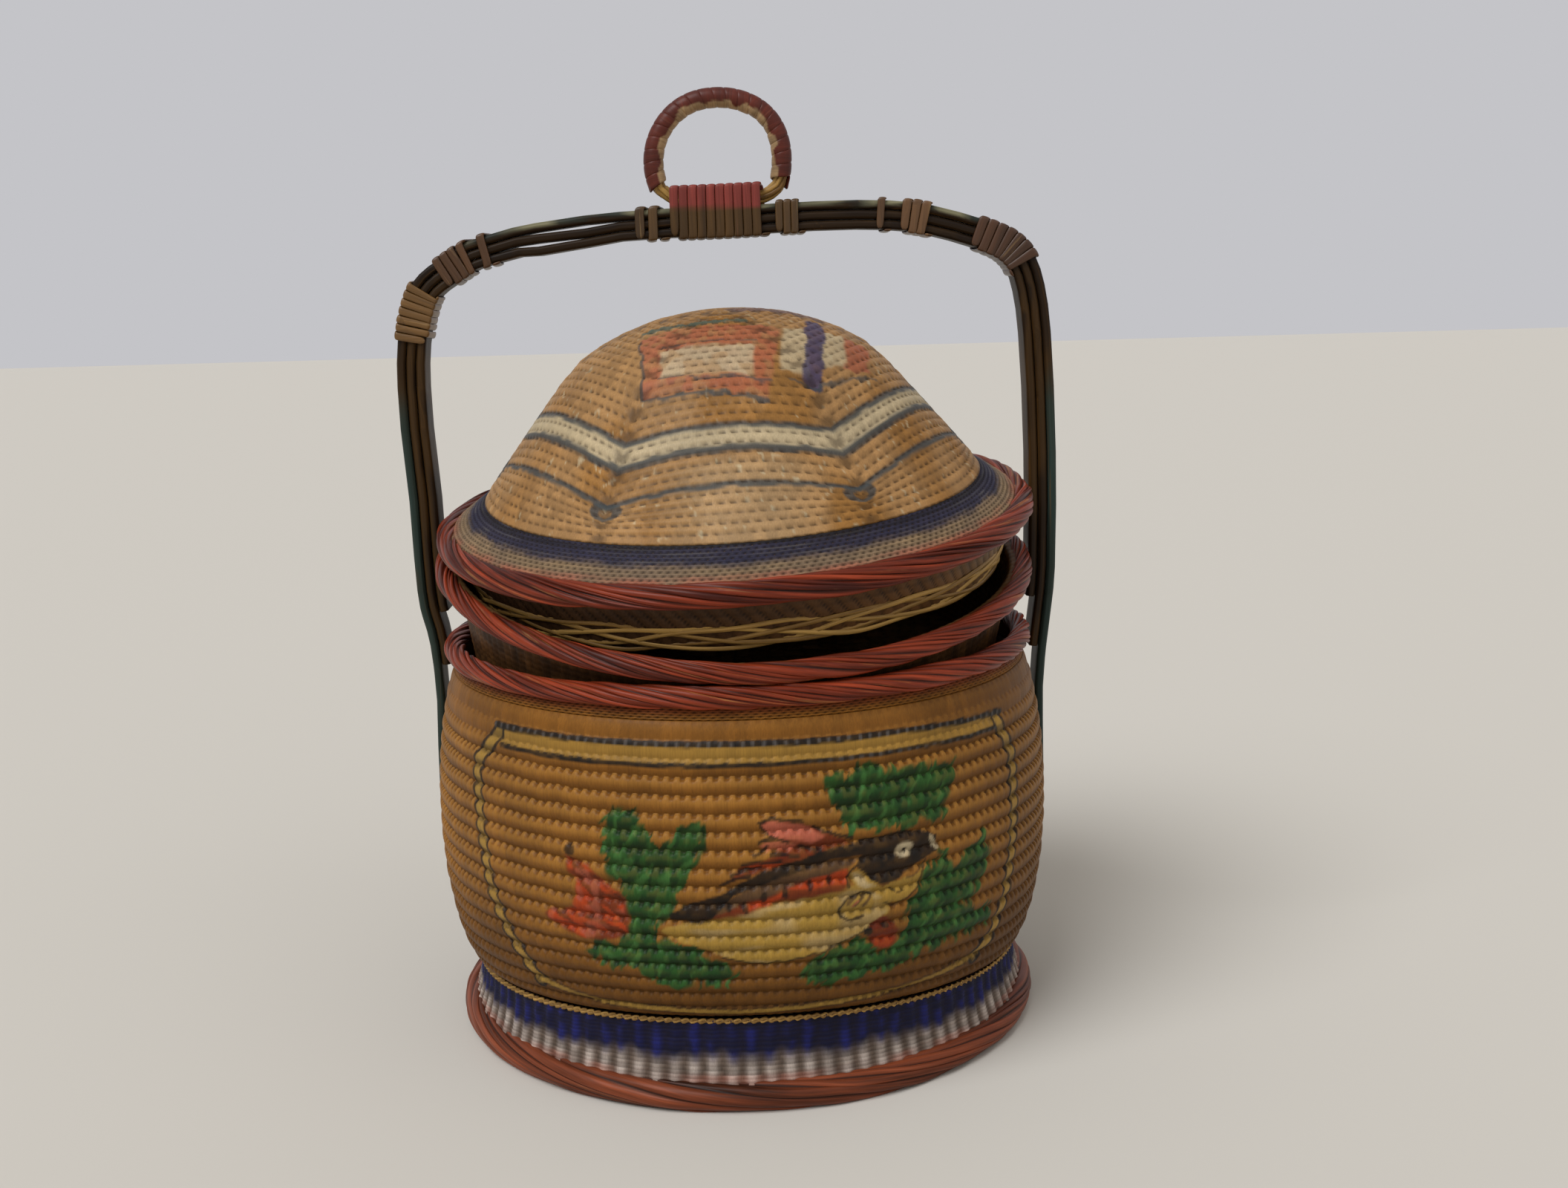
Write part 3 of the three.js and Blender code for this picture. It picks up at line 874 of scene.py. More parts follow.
@dataclass
class WovenDisc:
    """Floor plaited from broad strips at right angles. Sizes in mm; ring is the space between rings of points."""

    radius: float
    top: float
    thick: float = 3.0
    strip: float = 11.0
    crown: float = 0.7
    ring: float = 2.6
    steps: int = 300
    seed: int = 9

    def make(self, bend: Bend | None = None) -> bpy.types.Mesh:
        """Builds the floor.

        Args:
            bend: change in height, if the floor is out of true.

        Returns:
            The mesh in the piece's own mm.
        """
        rings = int(self.radius / self.ring)
        radii = np.linspace(0.0, self.radius, rings)
        outline = [(r, self.top) for r in radii] + [(r, self.top - self.thick) for r in radii[::-1]]
        mesh = spun(outline, [1.0] * rings + [-1.0] * rings, full_turn(self.steps), False)
        points, side = points_of(mesh), runs_of(mesh)
        u, v = points[:, 0] / self.strip, points[:, 1] / self.strip
        i, j = np.floor(u), np.floor(v)
        crown = np.where(np.mod(i + j, 2) == 0, np.sin(math.pi * (u - i)), np.sin(math.pi * (v - j)))
        points[:, 2] += self.crown * side * (crown - 1.0)
        table = np.random.default_rng(self.seed).random((DISC_CELLS, DISC_CELLS))
        tone = table[i.astype(int) % DISC_CELLS, j.astype(int) % DISC_CELLS]
        field = coloured(Dye.INSIDE, len(points))
        vary(field, 2 * tone - 1.0, 0.25)
        bent(points, bend)
        move_points(mesh, points)
        note(mesh, "paint", field)
        # painted shade at the strips' edges, where they dip under each other
        note(mesh, "hollow", np.clip(0.9 - 1.6 * crown, 0, 1))
        return mesh


@dataclass
class TwistedRim:
    """Rim of split canes twisted round each other into a ring. Sizes in mm.

    Groove is the depth between canes as a share of a cane's half width, bulge makes a cane's section squarer, swell
    is how much its girth differs and wander how far it strays from an even twist, in radians.
    """

    radius: float
    thick: float
    height: float
    canes: int
    turns: int
    seed: int
    groove: float = 1.0
    bulge: float = 2.6
    swell: float = 1.5
    wander: float = 0.3
    per_cane: int = 8
    steps: int = 330

    def make(self, bend: Callable[[Array], Array] | None = None, floor: float | None = None) -> bpy.types.Mesh:
        """Builds the rim.

        Args:
            bend: change in height by angle, if the rim is out of true.
            floor: lowest height that the canes are pressed to.

        Returns:
            The mesh in the piece's own mm, with grain, hollow and tone.
        """
        draw = np.random.default_rng(self.seed)
        edges = np.concatenate([[0.0], np.cumsum(0.5 + draw.random(self.canes))])
        edges /= edges[-1]
        widths = np.diff(edges)
        turns = (edges[:-1, None] + widths[:, None] * np.arange(self.per_cane) / self.per_cane).ravel()
        ring = circle(self.radius, self.height, self.thick, turns)
        mesh = spun(ring, list(turns), full_turn(self.steps), True)
        points, run = points_of(mesh), runs_of(mesh)
        angle = np.arctan2(points[:, 1], points[:, 0])
        around = np.abs(angle)
        cane = np.clip(np.searchsorted(edges, run + NUDGE, side="right") - 1, 0, self.canes - 1)
        w = np.clip((run - edges[cane]) / widths[cane], 0, 1)
        crown = np.sqrt(np.clip(1 - np.abs(2 * w - 1) ** self.bulge, 0, 1))
        half = math.pi * self.thick / self.canes
        girth = mottle(around * 7 + 40, cane * 3.1, 1.0, self.seed) - 0.5
        deep = self.thick - self.groove * half * (1 - crown) + self.swell * girth * crown
        stray = mottle(around * 4 + 20, cane * 2.3, 1.0, self.seed + 1) - 0.5
        phi = math.tau * run - self.turns * angle + self.wander * stray
        r = self.radius + deep * np.cos(phi)
        z = self.height + deep * np.sin(phi)
        if bend is not None:
            z = z + bend(angle)
        if floor is not None:
            z = np.maximum(z, floor)
        move_points(mesh, turned(r, angle, z))
        stain = mottle(around * 3 + 60, cane * 5.1, 1.0, self.seed + 2) - 0.5
        tone = 0.1 + 0.7 * draw.random(self.canes)[cane] + 0.5 * stain
        # canes lie far apart in the grain, so that no two look alike
        note(mesh, "grain", np.stack([around * self.radius, w * 2 * half, cane * 17.0], axis=1))
        # painted shade in the grooves between the canes
        note(mesh, "hollow", np.clip(1.05 - 1.9 * crown, 0, 0.94))
        note(mesh, "tone", tone)
        return mesh


@dataclass
class Braid:
    """Strands that cross each other along a ring. Sizes in mm.

    Sway is how far a strand goes up and down and weave how far in and out, drift how unevenly it sways, flat its
    thickness as a share of its width and lean how far it goes out as it rises.
    """

    strands: int
    radius: float
    height: float
    width: float
    sway: float
    weave: float
    waves: int
    seed: int
    flat: float = 0.75
    drift: float = 0.35
    lean: float = 0.0
    sides: int = 6
    steps: int = 420

    def make(self, bend: Bend | None = None) -> bpy.types.Mesh:
        """Builds the strands as one mesh.

        Args:
            bend: change in height, if the ring is out of true.

        Returns:
            The mesh in the piece's own mm.
        """
        whole = bundled([self.strand(k) for k in range(self.strands)])
        points = points_of(whole)
        bent(points, bend)
        move_points(whole, points)
        return whole

    def strand(self, k: int) -> bpy.types.Mesh:
        """Builds one strand, swaying up and down and in and out along the ring.

        Args:
            k: which strand.

        Returns:
            Its mesh, with grain, hollow and tone.
        """
        turns = np.arange(self.sides) / self.sides
        half = self.width / 2
        ring = circle(self.radius, self.height, half, turns)
        mesh = spun(ring, list(turns), full_turn(self.steps), True)
        points, run = points_of(mesh), runs_of(mesh)
        angle = np.arctan2(points[:, 1], points[:, 0])
        around = np.abs(angle)
        phase = self.waves * angle + math.tau * k / self.strands
        uneven = 2 * mottle(around * 5 + 30, np.full_like(angle, 7.0 * k), 1.0, self.seed) - 1
        rise = self.sway * (np.sin(phase) + self.drift * uneven)
        size = half * (0.8 + 0.4 * mottle(around * 4 + 30, np.full_like(angle, 3.0 * k), 1.0, self.seed + 3))
        middle = self.radius + self.weave * np.sin(2 * phase) + self.lean * rise
        r = middle + size * self.flat * np.cos(math.tau * run)
        z = self.height + rise + size * np.sin(math.tau * run)
        move_points(mesh, turned(r, angle, z))
        note(mesh, "grain", np.stack([around * self.radius, run * 6.0, np.full_like(run, 31.0 * k)], axis=1))
        # painted shade on the side of each strand that faces the wall behind it
        note(mesh, "hollow", 0.45 * smooth(0.0, -1.0, np.cos(math.tau * run)))
        note(mesh, "tone", np.full_like(run, (0.37 * k + 0.2) % 1.0))
        return mesh


class Brush:
    """Paints outlines by hand into a colour field. Coordinates are mm across and mm up."""

    def __init__(self, across: Array, up: Array, field: Array, seed: int, shake: float, load: float = 0.85) -> None:
        """Keeps the field and shakes the coordinates, so that edges come out uneven.

        Args:
            across: mm across, for every point.
            up: mm up, for every point.
            field: colours that are painted over.
            seed: which shake.
            shake: how far edges wander, mm.
            load: least cover of the paint, 0 to 1.
        """
        self.field = field
        self.u = across + shake * (mottle(across, up, 6.0, seed) - 0.5) * 2
        self.v = up + shake * (mottle(across, up, 5.0, seed + 1) - 0.5) * 2
        self.load = load + (1 - load) * mottle(across, up, 4.0, seed + 2)

    def fill(self, points: Line, dye: Dye, strength: float = 1.0, edge: float = 1.2) -> None:
        """Fills a closed outline.

        Args:
            points: the outline.
            dye: its colour.
            strength: cover, 0 to 1.
            edge: width over which the edge fades, mm.
        """
        lay(self.field, dye, strength * self.load * smooth(edge / 2, -edge / 2, self.distance(points)))

    def stroke(self, points: Line, width: float, dye: Dye, strength: float = 1.0) -> None:
        """Draws a line.

        Args:
            points: the line.
            width: its width, mm.
            dye: its colour.
            strength: cover, 0 to 1.
        """
        lay(self.field, dye, strength * self.load * smooth(width / 2 + 0.4, width / 2 - 0.4, self.reach(points)))

    def dab(self, centre: tuple[float, float], size: tuple[float, float], dye: Dye, strength: float = 1.0) -> None:
        """Paints an oval.

        Args:
            centre: its middle.
            size: its half width and half height, mm.
            dye: its colour.
            strength: cover, 0 to 1.
        """
        far = np.hypot((self.u - centre[0]) / size[0], (self.v - centre[1]) / size[1])
        lay(self.field, dye, strength * smooth(1.2, 0.8, far))

    def reach(self, points: Line) -> Array:
        """Distance to a line.

        Args:
            points: the line.

        Returns:
            Distances, mm.
        """
        best = np.full(len(self.u), np.inf)
        for (x0, y0), (x1, y1) in zip(points, points[1:]):
            dx, dy = x1 - x0, y1 - y0
            t = np.clip(((self.u - x0) * dx + (self.v - y0) * dy) / (dx * dx + dy * dy), 0, 1)
            best = np.minimum(best, np.hypot(self.u - x0 - t * dx, self.v - y0 - t * dy))
        return best

    def distance(self, points: Line) -> Array:
        """Distance to a closed outline.

        Args:
            points: the outline.

        Returns:
            Distances, mm, negative inside it.
        """
        inside = np.zeros(len(self.u), bool)
        for (x0, y0), (x1, y1) in zip(points, [*points[1:], points[0]]):
            crosses = (y0 > self.v) != (y1 > self.v)
            if y1 != y0:
                inside ^= crosses & (self.u < (x1 - x0) * (self.v - y0) / (y1 - y0) + x0)
        return np.where(inside, -1.0, 1.0) * self.reach([*points, points[0]])


def rounded(points: Line, per_side: int = 4) -> list[tuple[float, float]]:
    """Smooth closed curve through the points of an outline.

    Args:
        points: the outline.
        per_side: points of the curve for each point of the outline.

    Returns:
        The curve's points.
    """
    p = np.array(points, float)
    a, b, c, d = np.roll(p, 1, axis=0), p, np.roll(p, -1, axis=0), np.roll(p, -2, axis=0)
    t = (np.arange(per_side) / per_side)[:, None, None]
    q = 0.5 * (2 * b + (c - a) * t + (2 * a - 5 * b + 4 * c - d) * t**2 + (3 * b - a - 3 * c + d) * t**3)
    return [(float(x), float(y)) for x, y in q.transpose(1, 0, 2).reshape(-1, 2)]


@dataclass
class FishPanel:
    """Traditional fish among waterweed in a cut-cornered frame, in mm across the front and mm of height."""

    girth: float = 190.0
    splints: int = 196
    low: float = 201.5
    high: float = 212.0
    dash: float = 10.1

    def paint(self, wall: WallPoints) -> Array:
        """Paints the body's wall.

        Args:
            wall: its points.

        Returns:
            A colour for every point.
        """
        u, v = np.radians(wall.bearing) * self.girth, wall.height
        field = coloured(Dye.TAN, len(u))
        # painted shade: the lower body darker towards the foot; higher up the same darker tan lies in random clouds
        clouds = smooth(0.45, 0.8, mottle(u, v * 2.4, 60.0, 11))
        lay(field, Dye.TAN_DEEP, 0.75 * smooth(128, 60, v) + 0.25 * clouds * smooth(60, 128, v))
        # painted shade down the sides, most on the right, away from the light
        right = smooth(90, 200, u) * (0.6 - 0.2 * smooth(200, 500, u))
        left = 0.15 * smooth(-90, -170, u) + 0.25 * smooth(-200, -500, u)
        lay(field, Dye.TAN_DEEP, right + left)
        vary(field, wall.tone, 0.07)
        # painted highlight on each row's upper half and the splints' tips, where the paint is also worn pale; more of
        # it higher up
        lay(field, Dye.TAN_PALE, 0.45 * wall.crest * smooth(70, 150, v))
        self.frame(Brush(u, v, field, seed=21, shake=0.3, load=0.94))
        self.weed(Brush(u, v, field, seed=31, shake=2.6), wall)
        self.fish(Brush(u, v, field, seed=26, shake=0.8, load=0.9))
        # paint is thin on the splints' tips
        lay(field, Dye.TAN_PALE, 0.12 * wall.crest * smooth(0.35, 0.7, mottle(u, v, 3.5, 35)) * smooth(60, 110, v))
        vary(field, wall.tone, 0.05)
        return field

    def frame(self, brush: Brush) -> None:
        """Ochre band between black lines across the top and a narrow dashed band down the sides.

        Args:
            brush: a steady brush.
        """
        low, high = self.low, self.high
        left = [(-160, high - 4), (-180, 188), (-173, 148), (-166, 114), (-153, 89), (-136, 66)]
        right = [(174, high - 8), (186, 182), (183, 137), (176, 97), (166, 75), (152, 66)]
        top_high = [(-164.0, high), (0.0, high + 0.6), (100.0, high - 1.0), (181.0, high - 5)]
        top_low = [(-156.0, low), (0.0, low), (100.0, low - 0.4), (171.0, low - 2)]
        foot = [(-136.0, 66.0), (-90.0, 60.0), (0.0, 58.5), (90.0, 61.0), (152.0, 66.0)]
        brush.fill([*top_high, *reversed(top_low)], Dye.OCHRE, 0.75)
        # distance to the middle of the nearest splint, as a share of its width
        share = brush.u / (math.tau * self.girth) + 0.25
        splint = np.abs(np.mod(share * self.splints + 0.5, 1.0) - 0.5)
        for side in (left, right):
            brush.stroke(side, 11.0, Dye.BLACK, 0.95)
            dash = smooth(0.4, 0.6, 0.5 + 0.5 * np.cos(math.tau * brush.v / self.dash))
            lay(brush.field, Dye.OCHRE, 0.95 * smooth(3.6, 2.8, brush.reach(side)) * (0.55 + 0.45 * dash))
        brush.stroke(foot, 5.0, Dye.BLACK, 0.55)
        brush.stroke(foot, 2.6, Dye.OCHRE, 0.75)
        brush.stroke(top_high, 3.4, Dye.BLACK)
        lay(brush.field, Dye.TICK, 0.75 * smooth(1.5, 0.9, brush.reach(top_high)) * smooth(0.2, 0.12, splint))
        brush.stroke(top_low, 2.7, Dye.BLACK)
        ticks = smooth(1.0, 0.5, brush.reach(top_low)) * smooth(0.24, 0.14, splint)
        lay(brush.field, Dye.TICK, 0.5 * ticks * smooth(20, 60, brush.u))

    def weed(self, brush: Brush, wall: WallPoints) -> None:
        """Green weed in three clumps, dark in its depths and pale where the brush ran dry.

        Args:
            brush: a loose brush.
            wall: the wall's points.
        """
        left = [
            (-79, 173), (-66, 177), (-56, 173), (-50, 160), (-44, 159), (-36, 168), (-26, 172), (-23, 163),
            (-25, 150), (-34, 133), (-46, 115), (-48, 105), (-26, 99), (-20, 90), (-11, 88), (-12, 79), (-46, 77),
            (-62, 84), (-90, 89), (-92, 97), (-68, 106), (-65, 120), (-76, 145), (-80, 158),
        ]
        top = [
            (46, 192), (58, 193), (66, 199), (76, 193), (126, 188), (127, 178), (120, 165), (121, 159), (104, 160),
            (60, 160), (52, 173),
        ]
        right = [
            (148, 142), (154, 134), (153, 124), (145, 111), (131, 106), (140, 101), (160, 94), (160, 86), (138, 86),
            (104, 81), (79, 77), (33, 75), (39, 92), (66, 99), (76, 87), (88, 98), (94, 114), (103, 131), (113, 135),
            (113, 142), (120, 140), (124, 130), (136, 136),
        ]
        across, along = 0.87 * brush.u - 0.5 * brush.v, 0.5 * brush.u + 0.87 * brush.v
        # bristles leave streaky edges along the stroke
        bristles = 7.0 * (mottle(across, along * 0.2, 1.8, 81) - 0.5)
        clumps = [brush.distance(rounded(clump, 3)) for clump in (left, top, right)]
        inside = smooth(1.4, -1.4, np.minimum.reduce(clumps) + bristles)
        deep = smooth(0.4, 0.65, mottle(across, along * 0.3, 2.8, 77))
        dry = smooth(0.5, 0.8, mottle(across + 90, along * 0.35, 2.4, 79))
        lay(brush.field, Dye.GREEN, 0.97 * inside)
        lay(brush.field, Dye.GREEN_DEEP, 0.75 * inside * deep)
        # paler where the brush ran dry, and on the rows' crests as painted highlight
        lay(brush.field, Dye.GREEN_PALE, inside * np.clip(0.6 * dry * (1 - deep) + 0.3 * wall.crest, 0, 1))

    def fish(self, brush: Brush) -> None:
        """The fish, from tail to head.

        Args:
            brush: a brush in a sure hand.
        """
        self.tail_and_fins(brush)
        belly = [
            (-45, 112), (-25, 116), (3, 123), (38, 128), (59, 131), (76, 123), (80, 115), (70, 106), (38, 94),
            (5, 90), (-23, 100), (-44, 107),
        ]
        flank = [(55, 142), (26, 137), (-2, 127), (-25, 117), (-7, 118), (13, 126), (55, 129)]
        umber = [(63, 146), (38, 147), (6, 137), (-14, 127), (-18, 119), (-2, 126), (26, 135), (58, 143)]
        back = [
            (111, 152), (92, 157), (64, 156), (38, 152), (6, 143), (-14, 132), (-30, 126), (-42, 121), (-42, 117),
            (-26, 114), (-18, 118), (-8, 131), (22, 141), (46, 147), (64, 147), (60, 141), (70, 132), (79, 129),
            (91, 134), (104, 140), (111, 142),
        ]
        brush.fill(rounded(belly), Dye.CREAM, 1.0, 1.6)
        scales = smooth(0.4, 0.7, mottle(brush.u * 0.25, brush.v, 5.0, 47))
        lay(brush.field, Dye.PALE, 0.3 * scales * smooth(1.0, -1.0, brush.distance(belly)))
        brush.fill(flank, Dye.EARTH, 0.95, 3.0)
        brush.fill(
            [(55, 142), (46, 140), (26, 137), (22, 134), (34, 132), (47, 133), (55, 133)], Dye.ORANGE, 0.95, 2.5
        )
        brush.fill([(20, 132), (2, 126), (-2, 122), (10, 125), (18, 128)], Dye.ORANGE, 0.9, 2.5)
        brush.fill(umber, Dye.UMBER, 0.95, 2.5)
        for tick in ((45, 136), (34, 134), (21, 131), (9, 130), (-1, 124), (-10, 124)):
            brush.dab(tick, (1.7, 3.2), Dye.BLACK, 0.85)
        brush.stroke([(70, 106), (54, 100), (38, 94), (22, 91), (5, 90), (-14, 95)], 1.3, Dye.BLACK, 0.85)
        self.fore_fins(brush)
        gill = [
            (56, 139), (62, 139), (76, 128), (88, 131), (99, 132), (103, 138), (99, 126), (88, 117), (79, 118),
            (72, 126), (59, 130),
        ]
        brush.fill(gill, Dye.CREAM, 1.0, 1.4)
        brush.fill([(58, 138), (62, 137), (67, 132), (72, 129), (66, 129), (60, 131)], Dye.PALE, 0.6, 2.0)
        brush.fill(back, Dye.BLACK, 1.0, 1.2)
        brush.stroke([(56, 130), (55, 137), (57, 140), (61, 142), (63, 146)], 1.4, Dye.BLACK, 0.9)
        brush.stroke([(103, 138), (99, 126), (91, 118), (82, 116), (77, 118)], 1.4, Dye.BLACK, 0.75)
        brush.stroke([(81, 126), (84, 124), (88, 124)], 1.3, Dye.BLACK, 0.85)
        brush.stroke([(100, 134), (95, 132), (90, 131)], 1.2, Dye.UMBER, 0.7)
        brush.dab((89.5, 146.5), (5.4, 4.2), Dye.PALE)
        brush.dab((89.5, 146.3), (1.5, 1.4), Dye.BLACK)
        brush.stroke([(107.5, 150.5), (109.5, 147), (111, 144.5)], 3.0, Dye.PALE, 0.85)

    def tail_and_fins(self, brush: Brush) -> None:
        """Tail and the fin along the back, whose rays end in black points.

        Args:
            brush: a brush in a sure hand.
        """
        tail = [
            (-103, 148), (-90, 144), (-79, 135), (-67, 127), (-67, 107), (-93, 101), (-118, 108), (-118, 114),
            (-103, 117), (-98, 126), (-96, 134), (-102, 140),
        ]
        fin = [(8, 172), (23, 171), (39, 165), (58, 156), (38, 152), (16, 149), (18, 157), (26, 158), (11, 165)]
        brush.fill(rounded(tail, 3), Dye.EARTH, 0.95, 2.6)
        inside = smooth(1.0, -1.5, brush.distance(tail))
        lay(brush.field, Dye.ORANGE, 0.8 * smooth(0.45, 0.65, mottle(brush.u + brush.v, brush.v, 6.0, 51)) * inside)
        lay(brush.field, Dye.ROSE, 0.45 * smooth(0.55, 0.8, mottle(brush.u, brush.v, 5.0, 52)) * inside)
        for ray in (
            [(-101, 148), (-90, 138)], [(-117, 114), (-96, 114)], [(-117, 108), (-87, 108)],
            [(-85, 138), (-68, 125)], [(-96, 114), (-69, 114)],
        ):
            brush.stroke(ray, 1.3, Dye.BLACK, 0.45)
        brush.dab((-100, 152), (3.2, 3.2), Dye.BLACK, 0.85)
        brush.fill(
            [(-2, 147), (6, 149), (14, 152), (22, 153), (34, 153), (44, 153), (22, 147), (6, 143), (-10, 138)],
            Dye.EARTH, 0.9, 2.0,
        )
        brush.fill(fin, Dye.EARTH, 0.95, 1.6)
        brush.fill(
            [(9, 170), (14, 172), (24, 170), (34, 166), (44, 161), (36, 158), (26, 160), (16, 162), (11, 165)],
            Dye.ROSE, 0.95, 2.4,
        )
        brush.fill([(7, 158), (16, 160), (28, 158), (24, 155), (12, 155)], Dye.ROSE, 0.8, 1.6)
        brush.fill([(0, 147), (6, 148.5), (20, 147.5), (14, 146), (4, 145)], Dye.ORANGE, 0.85, 1.2)
        for ray in (
            [(8, 171), (14, 173), (24, 171.5), (31, 169.5)], [(8, 171), (9, 167), (12, 164)],
            [(37, 166), (47, 162), (59, 158)], [(13, 163), (23, 159)], [(7, 160), (16, 161)], [(12, 157), (4, 153)],
            [(29, 157), (40, 153)], [(14, 153), (28, 152)], [(-2, 148), (6, 149), (19, 149)],
            [(-8, 142), (-2, 144), (8, 146)], [(-14, 137), (-6, 140), (2, 142)],
        ):
            brush.stroke(ray, 1.9, Dye.BLACK, 0.9)

    def fore_fins(self, brush: Brush) -> None:
        """The two fins under the fish.

        Args:
            brush: a brush in a sure hand.
        """
        low = [(76, 111), (84, 104), (86, 98), (80, 91), (72, 94), (67, 103)]
        fin = [(69, 125), (63, 127), (55, 124), (50, 117), (57, 112), (68, 114), (71, 119)]
        brush.fill(rounded(low), Dye.EARTH, 1.0, 1.6)
        brush.fill([(84, 97), (81, 91), (77, 91), (72, 94), (70, 98), (76, 99)], Dye.ORANGE, 0.7, 2.0)
        brush.dab((67, 103), (2.6, 2.6), Dye.BLACK)
        brush.dab((78, 105), (2.2, 1.8), Dye.BLACK, 0.8)
        brush.fill(fin, Dye.CREAM, 0.95)
        for ray in ([(59, 125), (55, 121)], [(64, 125), (59, 119)], [(68, 124), (64, 119)]):
            brush.stroke(ray, 2.2, Dye.UMBER, 0.85)
        brush.stroke([(61, 122), (58, 119)], 1.2, Dye.ROSE, 0.7)
        brush.stroke(
            [(69, 125), (63, 127), (55, 124), (50, 119), (51, 114), (57, 112), (63, 112.5)], 1.5, Dye.BLACK, 0.95
        )


@dataclass
class Finishes:
    """The materials that several pieces share."""

    painted: bpy.types.Material  # broad splints under thin paint, with a soft sheen
    fine: bpy.types.Material  # dull fine weft with nearly black gaps
    dark: bpy.types.Material  # smoky strips that catch little light
    red: bpy.types.Material  # red paint, rubbed to bare cane on the crowns
    foot: bpy.types.Material  # browner and darker red
    straw: bpy.types.Material  # dry, pale and dull
    bamboo: bpy.types.Material  # dull brown with long streaks
    lashing: bpy.types.Material  # skin of the cane, golden and the glossiest of all
    ribbon: bpy.types.Material  # the same skin, stained a dull red

    @classmethod
    def make(cls) -> Finishes:
        """Builds them all.

        Returns:
            The materials.
        """
        return cls(
            painted=WovenFinish("painted_split_bamboo").make(),
            fine=WovenFinish(
                "fine_cane_weave", roughness=0.58, fibre=0.7, fibre_run=3.0, gap="#1C130C", gap_shade=0.85,
                coat=0.04,
            ).make(),
            dark=WovenFinish(
                "stained_bamboo_strip", roughness=0.48, fibre=1.2, fibre_run=12.0, gap="#0E0805", gap_shade=0.9
            ).make(),
            red=CaneFinish(
                "red_painted_cane", "#B8884C", ("#973C20", "#42150A"), wear=0.4, roughness=0.36, streak=1.3,
                streak_run=30.0, coat=0.08, gloss=0.16,
            ).make(),
            foot=CaneFinish(
                "worn_red_cane", "#8E5E3C", ("#86442A", "#30170B"), wear=0.3, roughness=0.4, streak=1.8,
                streak_run=50.0, coat=0.06, gloss=0.14,
            ).make(),
            straw=CaneFinish("bare_split_cane", "#CCAC6C", ("#C29A54", "#6E4E24"), wear=0.3, roughness=0.45).make(),
            bamboo=CaneFinish(
                "aged_bamboo_strip", "#6E4C22", wear=0.32, roughness=0.44, streak=1.5, streak_run=70.0, coat=0.05,
                gloss=0.12,
            ).make(),
            lashing=CaneFinish("aged_cane_lashing", "#A88A5C", wear=0.36, roughness=0.36, coat=0.2, gloss=0.3).make(),
            ribbon=CaneFinish("red_stained_cane_skin", "#8E5A42", wear=0.28, roughness=0.45).make(),
        )


@dataclass
class Foot:
    """Flared foot: red ring on the floor, blue and chalk skirt, twine at the waist. Sizes in mm."""

    radius: float = 175.5
    thick: float = 8.5
    skirt_low: float = 13.6
    skirt_high: float = 46.6
    waist: float = 170.8
    flare: float = 5.2
    wall: float = 2.6
    lift: float = 5.0
    lift_starts: tuple[float, float] = (16.6, 42.2)
    lift_ends: tuple[float, float] = (60.2, 130.2)

    def sag(self, angle: Array, radius: Array, height: Array) -> Array:
        """The waist is a little higher at front and back than at the sides."""
        ramp = smooth(*self.lift_starts, height) * (1 - smooth(*self.lift_ends, height))
        return -self.lift * np.minimum(1, radius / self.waist) ** 2 * np.cos(2 * angle) * ramp

    def paint(self, wall: WallPoints) -> Array:
        """Blue above and chalk below, with a soft edge that differs from rib to rib.

        Args:
            wall: the skirt's points.

        Returns:
            A colour for every point.
        """
        # the dusty ground left between the ribs is painted shade as well as dust; chalk white is laid on the ribs
        field = coloured(Dye.DUST_AND_SHADE, len(wall.run))
        lay(field, Dye.CHALK, smooth(0.05, 1.0, wall.crest) * (0.35 + 0.65 * wall.mottle(2.0, 43, up_share=0.5)))
        lay(field, Dye.ROSE, 0.35 * smooth(8.0, 4.0, wall.run) * wall.mottle(5.0, 44))
        edge = 15.6 + 2.4 * (wall.mottle(3.4, 41, up_share=0.05) - 0.5) * 2 - 1.5 * wall.crest
        blue = smooth(-4.5, 3.5, wall.run - edge)
        lay(field, Dye.NAVY, blue)
        worn = smooth(0.0, 1.0, wall.crest) * smooth(0.25, 0.85, wall.mottle(2.0, 42, up_share=0.4))
        lay(field, Dye.BLUE, 0.7 * blue * worn)
        vary(field, wall.tone, 0.22)
        return field

    def build(self, finishes: Finishes) -> None:
        """Makes the foot's three pieces.

        Args:
            finishes: the shared materials.
        """
        seat = Seat(Part.BASKET, UPRIGHT)
        height = self.thick * math.cos(math.pi / 8)
        rim = TwistedRim(self.radius, self.thick, height, canes=9, turns=3, seed=5, groove=0.6, per_cane=10)
        seat.fit(rim.make(floor=0.0), "foot_ring", finishes.foot, "foot_rim")
        line = [
            (self.waist + self.flare * (1 - s) ** 2.4, self.skirt_low + s * (self.skirt_high - self.skirt_low))
            for s in np.linspace(0, 1, 8)
        ]
        plan = WeavePlan(Weave.STAKED, rows=16, stakes=100, per_row=4, per_stake=7, lift=1.3, seed=3)
        skirt = woven_wall(line, plan, self.wall, self.paint, self.sag)
        seat.fit(skirt, "foot_weave", finishes.fine, "foot_skirt")
        twine = Braid(
            strands=2, radius=171.7, height=45.9, width=1.9, sway=0.85, weave=0.8, waves=110, seed=8,
            drift=0.15, steps=880,
        )
        seat.fit(twine.make(self.sag), "waist_cord", finishes.straw, "waist_braid")


